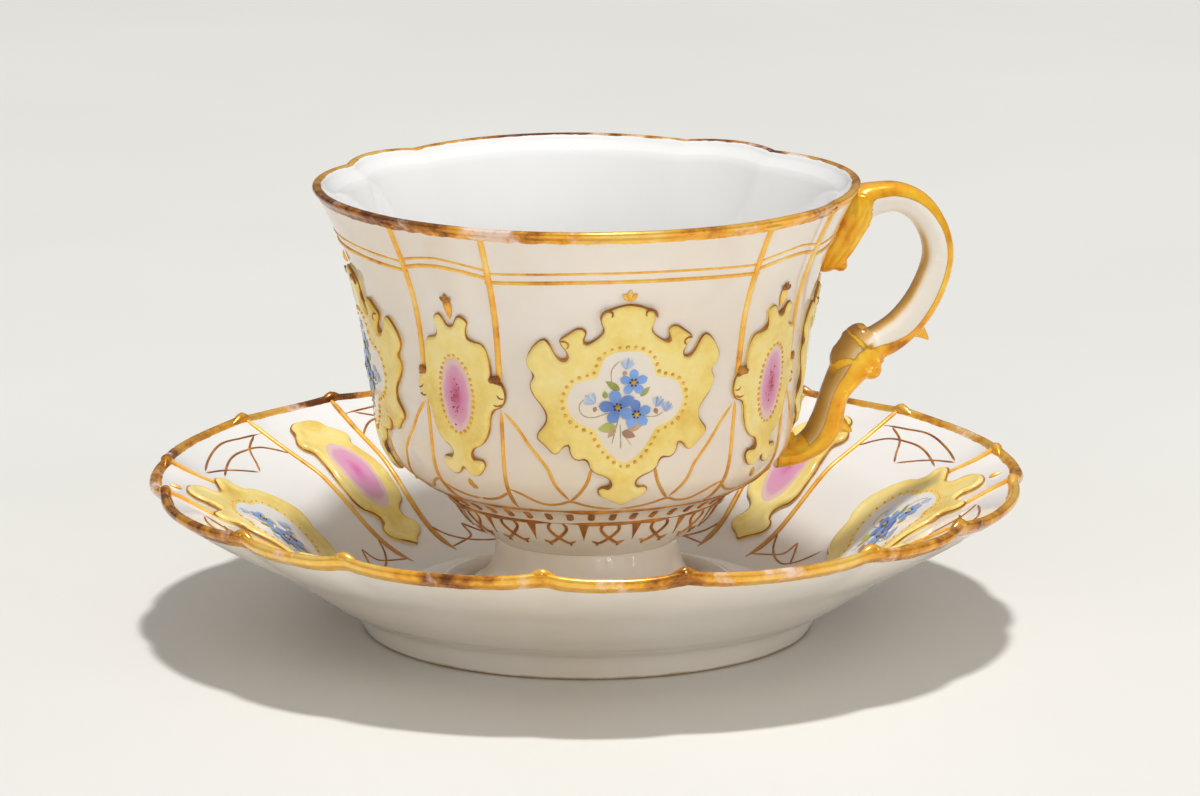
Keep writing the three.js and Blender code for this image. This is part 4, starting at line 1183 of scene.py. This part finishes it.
# Cup gilding: trailed ribs in the grooves, two lines under the lip, looped lines below the cartouches
# and a border of spears and loops above the foot, all raised a little and fired with gold. A knot of gold
# sits on the lip over each rib.
UPPER_RIB = (50.6, CUP_LIP_START)
LOWER_RIB = (26.9, 45.8)
RIB_STEP = 0.5
FINE = 0.34
BORDER_LINE = 0.31
BORDER_POINTS = 240
FAN = [(19.6, 45.3), (17.4, 42.6), (15.2, 39.2), (12.5, 35.6), (11.1, 32.6), (8.2, 29.2)]
TIE = [(8.2, 29.2), (6.9, 31.2), (5.9, 33.3), (5.4, 35.7)]
WAVE = [
    (18.6, 31.3), (16.4, 30.5), (12.6, 28.5), (10, 28.5), (8.2, 29.2), (5.5, 28.3), (2.5, 27.6), (0, 27.4),
]
NARROW_WAVE = [(6.6, 30.4), (4.6, 29.2), (2.4, 28.5), (0, 28.3)]
DAB = [(0, 32.4), (0.3, 31.3), (1.1, 30.5)]
LOOP = [
    (0.9, 23.3), (1.5, 22.7), (1.5, 21.9), (0.8, 21), (0, 20.3), (-0.7, 19.7), (-1.6, 19.2), (-2.8, 19.6),
]
FORK = [(-1.7, 19.3), (-1.8, 18.9), (-1.6, 18.4)]
WIDE_LINES = [[(0, 70.5), (10, 70.4), (23.4, 69.8)], [(0, 68.9), (10, 68.8), (23.1, 68.2)]]
NARROW_LINES = [[(0, 71.6), (4, 71.2), (8.8, 70.3)], [(0, 70.1), (4, 69.8), (8.7, 68.9)]]
LIP_LINE_BEADS = (0.28, 0.4)
BORDER_COUNT = 16
BORDER_TOP = 26.6
BORDER_BASE = 23.3
SPEAR_TIP = 19.6
SPEAR_WIDTH = 1.9
CREST_CURL = [(4.7, 62.5), (4.4, 63.7), (3.4, 64.1), (2.7, 63.6), (2.9, 62.9)]
SIDE_CURL = [(10.9, 58.5), (10, 58.5), (9.5, 57.8), (9.9, 57.2)]
EAR_LINES = [
    [(8.4, 50.1), (7.4, 50.5), (6.3, 50.8)],
    [(8.6, 47.7), (7.9, 47.8), (7.3, 48.3)],
    [(8.3, 46.7), (7.4, 46.4), (6.5, 46.6)],
]
CURL = 0.2
CURL_LIFT = 0.95
EAR_LIFT = 0.9
DAB_BEAD = 0.5
LIP_KNOT = 0.72
KNOT_HEIGHT = 76.7
KNOT_SPREAD = 0.045
KNOT_POINTS = 11
SPEAR_STEPS = 6
SPEAR_LIFT = 0.14

cup_line_gold = line_gold("cup_line_gold", brown_below=29, gold_above=37)


def cup_line(into, points, degrees, bead, proud=-0.12, both=True, taper=True):
    """Adds a line to a row list, and its mirror image."""
    for hand in (-1, 1) if both else (1,):
        line = even(smooth([(x * hand, z) for x, z in points], 8), 0.45)
        size = tapered(len(line), bead) if taper else np.full(len(line), bead)
        into.append((lay_on_cup(lifted(line, proud), math.radians(degrees)), size, False))


rows, outlines, border, knots = [], [], [], []
for panel in range(CUP_PAIRS):
    wide = 90 * panel
    narrow = wide + 45
    for edge in (-1, 1):
        groove = math.radians(narrow) + edge * CUP_NARROW / 2
        for reach, bead, end in ((UPPER_RIB, RIB, 1), (LOWER_RIB, FINE, 0.3)):
            z = np.arange(*reach, RIB_STEP)
            rows.append((cup_place(np.full(len(z), groove), z), tapered(len(z), bead, end, end), False))
    for points in (FAN, TIE, WAVE):
        cup_line(rows, points, wide, FINE)
    for lines, middle in ((WIDE_LINES, wide), (NARROW_LINES, narrow)):
        for points, bead in zip(lines, LIP_LINE_BEADS):
            cup_line(rows, points, middle, bead, taper=False)
    cup_line(rows, NARROW_WAVE, narrow, FINE)
    cup_line(rows, DAB, narrow, DAB_BEAD, both=False)
    outlines.append(edging(whole(CUP_OVAL_HALF), lay_on_cup, math.radians(narrow), EDGING, narrow))
    flower_outline = trimmed_ring if panel == 0 else whole(CUP_FLOWER_HALF)
    outlines.append(edging(flower_outline, lay_on_cup, math.radians(wide), EDGING, wide))
    for points in EAR_LINES:
        cup_line(outlines, points, narrow, CURL, EAR_LIFT)
    if panel > 0:
        cup_line(outlines, CREST_CURL, wide, CURL, CURL_LIFT)
    cup_line(outlines, SIDE_CURL, wide, CURL, CURL_LIFT)
for z in (BORDER_TOP, BORDER_BASE):
    angle = np.linspace(0, 2 * math.pi, BORDER_POINTS, endpoint=False)
    round_cup = cup_place(angle, np.full(BORDER_POINTS, z))
    border.append((round_cup, uneven(BORDER_POINTS, BORDER_LINE, int(z)), True))
for i in range(BORDER_COUNT):
    for points in (LOOP, FORK):
        cup_line(border, points, 360 / BORDER_COUNT * i, BORDER_LINE, -0.05)
for panel in range(CUP_PAIRS):
    for edge in (-1, 1):
        share = np.linspace(-1, 1, KNOT_POINTS)
        angle = math.radians(90 * panel + 45) + edge * CUP_NARROW / 2 + KNOT_SPREAD * share
        ridge = cup_place(angle, np.full(len(share), KNOT_HEIGHT))
        knots.append((ridge, swelling(share, LIP_KNOT, 0.6), False))
for name, lines, gold, sides in (
        ("cup_gilt_lines", rows, cup_line_gold, 8), ("cup_sprig_outlines", outlines, brown_gold, 8),
        ("cup_border_lines", border, brown_gold, 8), ("cup_lip_knots", knots, burnished_gold, 16)):
    made = trailed(name, lines, gold, sides)
    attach(made, "cup")

spear_points = []
for share in np.linspace(0, 1, SPEAR_STEPS + 1):
    for side in (-1, 0, 1):
        across = side * SPEAR_WIDTH / 2 * (1 - share) ** 1.2
        z = BORDER_BASE + (SPEAR_TIP - BORDER_BASE) * share
        spear_points.append((across, z, SPEAR_LIFT - 0.1 * abs(side)))
spear_faces = [(i, i + 3, i + 4, i + 1) for i in range(3 * SPEAR_STEPS) if i % 3 < 2]
spear_mesh = bpy.data.meshes.new("spear")
spear_mesh.from_pydata(spear_points, [], spear_faces)
spear_mesh.materials.append(brown_gold)
for i in range(BORDER_COUNT):
    turn = 2 * math.pi * (i + 0.5) / BORDER_COUNT
    spear = wrapped(f"cup_border_spear_{i:02d}", spear_mesh, lay_on_cup, turn)
    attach(spear, "cup")

# Dots: drops of raised gold set by brush round the windows and ovals, red-brown stipple on the pink,
# and brown drops in the border above the foot.
WINDOW_GAP = 0.75
STIPPLE_COUNT = 34
EAR_KNOBS = np.array([(-7.4, 51), (7.4, 51), (-6.6, 50.8), (6.6, 50.8)])
EAR_KNOB_SIZES = np.array([0.85, 0.85, 0.6, 0.6])
BORDER_DROP = np.array([(0, 24.45, 0), (0, 24.9, 0), (0, 25.35, 0)])
BORDER_DROP_SIZE = 0.68
BORDER_DOTS = 44
drop_gold = mottled(
    "drop_gold", [260, 4], (0.35, (0.72, 0.34, 0.05)), (0.65, (0.95, 0.54, 0.10)),
    Metallic=0.12, Roughness=0.35)
red_stipple = mottled(
    "red_stipple", [700, 3], (0.35, (0.26, 0.02, 0.03)), (0.65, (0.45, 0.07, 0.08)), Roughness=0.3)

dot_tree, given = new_tree("dots", ("Flatness", "Float"), ("Segments", "Int"), ("Enamel", "Material"))
tree = dot_tree
rings = calc(tree, "MULTIPLY", given["Segments"], 0.6)
ball = node(tree, "GeometryNodeMeshUVSphere", {"Segments": given["Segments"], "Rings": rings, "Radius": 1.0})
facing = node(tree, "FunctionNodeAlignRotationToVector", {
    "Vector": named(tree, "facing", "FLOAT_VECTOR"),
}, axis="Z")
size = named(tree, "size")
scale = node(tree, "ShaderNodeCombineXYZ", {
    "X": size, "Y": size, "Z": calc(tree, "MULTIPLY", size, given["Flatness"]),
})
placed = node(tree, "GeometryNodeInstanceOnPoints", {
    "Points": given["Geometry"], "Instance": ball.outputs[0], "Rotation": facing.outputs[0],
    "Scale": scale.outputs[0],
})
end_tree(tree, placed.outputs[0], given["Enamel"])


def dots(name, groups, material, flatness=0.6, segments=8):
    """One object of drops. Each group is flat points, drop sizes, how a body lays them, and the turn."""
    places, facings, sizes = [], [], []
    for flat, drop, lay, turn in groups:
        low = lay(flat, turn)
        places.extend(low * MM)
        facings.extend(lay(flat + (0, 0, 1), turn) - low)
        sizes.extend(np.broadcast_to(drop, len(flat)) * MM)
    mesh = bpy.data.meshes.new(name)
    mesh.from_pydata(places, [], [])
    facing_data = mesh.attributes.new("facing", "FLOAT_VECTOR", "POINT").data
    facing_data.foreach_set("vector", np.array(facings, np.float32).ravel())
    mark(mesh, "size", sizes)
    return grow(name, mesh, dot_tree, flatness=flatness, segments=segments, enamel=material)


def round_window(half, spacing):
    """Flat points for drops just outside a window."""
    return lifted(follow(whole(half), -WINDOW_GAP, spacing), SPRIG_FIELD)


gold_drops, brown_drops, stipple = [], [], []
chance = np.random.default_rng(7)
pink_middle, pink_half_width, pink_half_length = CUP_PINK
for degrees in CUP_FLOWER_SIDES.values():
    flat = round_window(CUP_WINDOW_HALF, 1.3)
    gold_drops.append((flat, chance.uniform(0.25, 0.38, len(flat)), lay_on_cup, math.radians(degrees)))
for degrees in OVAL_SIDES.values():
    turn = math.radians(degrees)
    ring = even(oval(pink_middle, pink_half_width + 0.3, pink_half_length + 0.35), 1.0, True)
    drop = chance.uniform(0.24, 0.36, len(ring))
    gold_drops.append((lifted(ring, SPRIG_FIELD), drop, lay_on_cup, turn))
    across = chance.normal(0, 0.55, STIPPLE_COUNT)
    spot = np.column_stack([across, chance.normal(pink_middle - 0.6, 1.7, STIPPLE_COUNT)])
    drop = chance.uniform(0.08, 0.2, STIPPLE_COUNT)
    stipple.append((lifted(spot, SPRIG_FIELD), drop, lay_on_cup, turn))
    brown_drops.append((lifted(EAR_KNOBS, EAR_LIFT), EAR_KNOB_SIZES, lay_on_cup, turn))
for i in range(BORDER_DOTS):
    brown_drops.append((BORDER_DROP, BORDER_DROP_SIZE, lay_on_cup, 2 * math.pi * i / BORDER_DOTS))
for name, groups, material, flatness in (
        ("cup_window_dots", gold_drops, drop_gold, 0.7), ("cup_brown_dots", brown_drops, brown_gold, 0.4),
        ("cup_red_stipple", stipple, red_stipple, 0.35)):
    made = dots(name, groups, material, flatness)
    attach(made, "cup")

saucer_drops = []
for degrees in FLOWER_SIDES.values():
    flat = round_window(SAUCER_WINDOW_HALF, 1.35)
    saucer_drops.append((flat, chance.uniform(0.22, 0.34, len(flat)), lay_on_saucer, saucer_angle(degrees)))
saucer_dots = dots("saucer_window_dots", saucer_drops, drop_gold, 0.7)
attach(saucer_dots, "saucer")

# Painted flowers: enamel colours brushed on the white windows, sprays of forget-me-nots with buds,
# leaves and stems, and small gilt buds above the cartouches.
SPRAY_FLOWERS = [(1.15, 51.1, 2.4, 0.0), (1.7, 45.5, 2.6, 0.1), (-1.4, 46.9, 3.1, 0.25)]
SPRAY_BUDS = [
    (-5, 47.6, 2.1, 0.9), (-0.2, 53.4, 2.0, -0.2), (4.9, 46.6, 1.9, -0.5), (6.6, 45.6, 1.8, -0.3),
]
SPRAY_GREEN = [
    (-1.1, 49.8, -3.5, 51.5, 1.2), (2.3, 48.6, 3.9, 50.2, 1), (-1.6, 43.5, -4.6, 43, 1.8),
    (-3.4, 48.4, -3.6, 49.8, 0.9),
]
SPRAY_BROWN = [
    (-1.6, 43, -2.9, 41.5, 0.9), (-0.6, 42.5, 1.7, 41.5, 1.5), (0.3, 42.7, 2.9, 43.7, 1.2),
    (-5, 47, -5.2, 46, 0.7), (-0.2, 53.2, -0.6, 52.3, 0.8), (4.8, 46.4, 5.2, 45.3, 0.8),
]
SPRAY_STEMS = [
    [(-1.25, 44.8), (-1.7, 42.6), (-2.2, 40.3)], [(-0.9, 43.9), (-0.8, 41.6), (-0.7, 39.5)],
    [(-0.2, 42), (0.4, 41), (1.1, 39.9)],
    [(-2.6, 46), (-5.2, 45.1), (-6.9, 45.4), (-7.6, 46.7), (-7.2, 47.9), (-6.4, 48.3)],
    [(-2.4, 50.6), (-2.6, 52.9), (-2.1, 54.1), (-1.1, 55)], [(2.5, 45.2), (4.8, 44.9), (6.3, 45.6)],
]
FACE = SPRIG_FIELD + 0.03
FLOWER_STEP = 0.05
PETAL_STEP = 0.008
PETAL_WIDTH = 0.64
SPECKS = 6
SPECK_RING = 0.62
BUD_STEP = 0.006
BUD_FAN = 0.34
BUD_WIDTH = 0.28
EYE_SIZE = 0.5
SPECK_SIZE = 0.17
STEM = 0.11
STEM_SUNK = 0.06
PETALS = 5
LEAF_STEP = 0.005
SPRAY_MIDDLE = 47.2
SPRAY_SQUEEZE = 0.9
SAUCER_SPRAY_MIDDLE = 53

petal_tree, given = new_tree(
    "petals", ("Swell", "Float"), ("Bluntness", "Float"), ("Lift", "Float"), ("Seed", "Int"),
    ("Enamel", "Material"),
)
tree = petal_tree
grid = node(tree, "GeometryNodeMeshGrid", {"Size X": 1.0, "Size Y": 1.0, "Vertices X": 5, "Vertices Y": 8})
place = node(tree, "ShaderNodeSeparateXYZ", {0: node(tree, "GeometryNodeInputPosition").outputs[0]})
along = calc(tree, "ADD", place.outputs["Y"], 0.5)
bulge = calc(tree, "SINE", calc(tree, "MULTIPLY", calc(tree, "POWER", along, given["Swell"]), math.pi))
width = calc(tree, "POWER", calc(tree, "MAXIMUM", bulge, 0.0), given["Bluntness"])
aside = calc(tree, "MULTIPLY", place.outputs["X"], place.outputs["X"])
crown = calc(tree, "SUBTRACT", 1.0, calc(tree, "MULTIPLY", aside, 4.0))
shaped = node(tree, "ShaderNodeCombineXYZ", {
    "X": calc(tree, "MULTIPLY", place.outputs["X"], width), "Y": along,
    "Z": calc(tree, "MULTIPLY", calc(tree, "MULTIPLY", crown, width), given["Lift"]),
})
marked = node(tree, "GeometryNodeStoreNamedAttribute", {
    "Geometry": grid.outputs["Mesh"], "Name": "along", "Value": along,
}, data_type="FLOAT", domain="POINT")
petal = node(tree, "GeometryNodeSetPosition", {"Geometry": marked.outputs[0], "Position": shaped.outputs[0]})
turned = node(tree, "ShaderNodeCombineXYZ", {"Z": named(tree, "turn")})
scale = node(tree, "ShaderNodeCombineXYZ", {"X": named(tree, "width"), "Y": named(tree, "length"), "Z": 1.0})
rotation = node(tree, "FunctionNodeEulerToRotation", {0: turned.outputs[0]})
placed = node(tree, "GeometryNodeInstanceOnPoints", {
    "Points": given["Geometry"], "Instance": petal.outputs[0], "Rotation": rotation.outputs[0],
    "Scale": scale.outputs[0],
})
chance_node = node(tree, "FunctionNodeRandomValue", {"Seed": given["Seed"]}, data_type="FLOAT")
shaded = node(tree, "GeometryNodeStoreNamedAttribute", {
    "Geometry": placed.outputs[0], "Name": "shade", "Value": chance_node.outputs[1],
}, data_type="FLOAT", domain="INSTANCE")
end_tree(tree, shaded.outputs[0], given["Enamel"])


def flat_petals(name, petals, material, swell, bluntness, lift, seed=1):
    """A flat mesh of petals, each (across, up, proud, turn, length, width)."""
    values = np.array(petals, float)
    mesh = bpy.data.meshes.new(name)
    mesh.from_pydata(values[:, :3].tolist(), [], [])
    for label, column in (("turn", 3), ("length", 4), ("width", 5)):
        mark(mesh, label, values[:, column])
    made = grow(name, mesh, petal_tree, swell=swell, bluntness=bluntness, lift=lift, seed=seed,
                enamel=material)
    flat = made.data
    bpy.data.objects.remove(made)
    return flat


def leaf_between(x, z, to_x, to_z, wide, proud):
    """A leaf from its foot to its tip."""
    return x, z, proud, math.atan2(x - to_x, to_z - z), math.hypot(to_x - x, to_z - z), wide


def enamel(name, deep, light, rough=0.28):
    """A painted colour that goes from deep to light, petal by petal and towards the tip."""
    material, tree, shader = finish_of(name, Roughness=rough)
    mixed = calc(tree, "ADD", calc(tree, "MULTIPLY", attribute(tree, "shade"), 0.75),
                 calc(tree, "MULTIPLY", attribute(tree, "along"), 0.3))
    mixed = unsteady(tree, mixed, 0.25, 1500, 3)
    link(tree, blend(tree, mixed, deep, light), shader, "Base Color")
    return material


blue_enamel = enamel("blue_enamel", (0.02, 0.06, 0.34), (0.23, 0.42, 0.84))
pale_blue = enamel("pale_blue_enamel", (0.10, 0.18, 0.48), (0.58, 0.67, 0.82))
green_enamel = enamel("green_enamel", (0.16, 0.17, 0.02), (0.52, 0.55, 0.16))
russet_enamel = enamel("russet_enamel", (0.24, 0.12, 0.07), (0.62, 0.40, 0.26))
centre_enamel = mottled(
    "centre_enamel", [900, 3], (0.35, (0.42, 0.2, 0.02)), (0.65, (0.85, 0.55, 0.08)), Roughness=0.3)
dark_enamel = mottled(
    "dark_enamel", [900, 3], (0.35, (0.015, 0.012, 0.02)), (0.65, (0.07, 0.05, 0.06)), Roughness=0.35)
stem_enamel = mottled(
    "stem_enamel", [700, 3], (0.35, (0.32, 0.29, 0.17)), (0.65, (0.58, 0.54, 0.38)), Roughness=0.4)

petals, buds, centres, darks = [], [], [], []
for i, (x, z, size, turn) in enumerate(SPRAY_FLOWERS):
    for leaf in range(PETALS):
        proud = FACE + 0.05 + FLOWER_STEP * i + PETAL_STEP * leaf
        petals.append((x, z, proud, turn + 2 * math.pi * leaf / PETALS, size, PETAL_WIDTH * size))
    centres.append((x, z, FACE + 0.16 + FLOWER_STEP * i))
    for spot in range(SPECKS):
        around = turn + 2 * math.pi * (spot + 0.5) / SPECKS
        across = x + SPECK_RING * math.sin(around)
        darks.append((across, z + SPECK_RING * math.cos(around), FACE + 0.15 + FLOWER_STEP * i))
for x, z, size, turn in SPRAY_BUDS:
    for leaf in (-2, -1, 0, 1, 2):
        length = size * (1.1 - 0.08 * abs(leaf))
        proud = FACE + 0.03 + BUD_STEP * leaf
        buds.append((x, z, proud, turn + BUD_FAN * leaf, length, BUD_WIDTH * size))
greens = [leaf_between(*leaf, FACE + 0.02 + LEAF_STEP * i) for i, leaf in enumerate(SPRAY_GREEN)]
browns = [leaf_between(*leaf, FACE + 0.04 + LEAF_STEP * i) for i, leaf in enumerate(SPRAY_BROWN)]
spray_parts = {
    "petals": flat_petals("spray_petals", petals, blue_enamel, 1.5, 0.6, 0.06, 3),
    "buds": flat_petals("spray_buds", buds, pale_blue, 1.3, 0.7, 0.05, 5),
    "leaves": flat_petals("spray_leaves", greens, green_enamel, 0.8, 0.9, 0.05, 2),
    "russet_leaves": flat_petals("spray_russet", browns, russet_enamel, 0.8, 0.9, 0.05, 4),
}


def to_saucer(flat, turn):
    """Lays the cup's spray in a saucer window, whose middle lies out at its own place."""
    shift = SAUCER_SPRAY_MIDDLE - SPRAY_SQUEEZE * SPRAY_MIDDLE
    return lay_on_saucer(flat * (1, SPRAY_SQUEEZE, 1) + (0, shift, 0), turn)


for body, lay, turns in (
        ("cup", lay_on_cup, {side: math.radians(degrees) for side, degrees in CUP_FLOWER_SIDES.items()}),
        ("saucer", to_saucer, {side: saucer_angle(degrees) for side, degrees in FLOWER_SIDES.items()})):
    for part, flat_mesh in spray_parts.items():
        for side, turn in turns.items():
            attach(wrapped(f"{body}_{part}_{side}", flat_mesh, lay, turn), body)
    for name, places, drop, colour in (
            (f"{body}_flower_eyes", centres, EYE_SIZE, centre_enamel),
            (f"{body}_flower_specks", darks, SPECK_SIZE, dark_enamel)):
        groups = [(np.array(places), drop, lay, turn) for turn in turns.values()]
        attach(dots(name, groups, colour, 0.4), body)
    rows = []
    for turn in turns.values():
        for stem in SPRAY_STEMS:
            line = even(smooth(stem, 6), 0.4)
            rows.append((lay(lifted(line, FACE - STEM_SUNK), turn), tapered(len(line), STEM), False))
    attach(trailed(f"{body}_stems", rows, stem_enamel, 6), body)

large_bud = flat_petals("large_bud", [
    (0, 65.4, 0.15, 0, 2.1, 1), (0, 65.4, 0.17, 0.75, 1.9, 0.9), (0, 65.4, 0.19, -0.75, 1.9, 0.9)],
    cup_line_gold, 0.9, 0.8, 0.5)
small_bud = flat_petals("small_bud", [(0, 64.2, 0.2, math.pi, 3.7, 1.7)], cup_line_gold, 0.55, 0.9, 0.5)
small_crown = flat_petals("small_crown", [
    (0, 63.6, 0.3, 0, 1.8, 0.9), (0, 63.8, 0.32, 0.9, 1.4, 0.8), (0, 63.8, 0.34, -0.9, 1.4, 0.8)],
    brown_gold, 0.9, 0.8, 0.4)
for side, degrees in CUP_FLOWER_SIDES.items():
    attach(wrapped(f"cup_large_bud_{side}", large_bud, lay_on_cup, math.radians(degrees)), "cup")
for side, degrees in OVAL_SIDES.items():
    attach(wrapped(f"cup_small_bud_{side}", small_bud, lay_on_cup, math.radians(degrees)), "cup")
    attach(wrapped(f"cup_small_crown_{side}", small_crown, lay_on_cup, math.radians(degrees)), "cup")
saucer_bud = flat_petals("saucer_bud", [(0, 70, 0.12, 0, 2.3, 1.1)], saucer_line_gold, 0.7, 0.9, 0.4)
for side, degrees in FLOWER_SIDES.items():
    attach(wrapped(f"saucer_bud_{side}", saucer_bud, lay_on_saucer, saucer_angle(degrees)), "saucer")
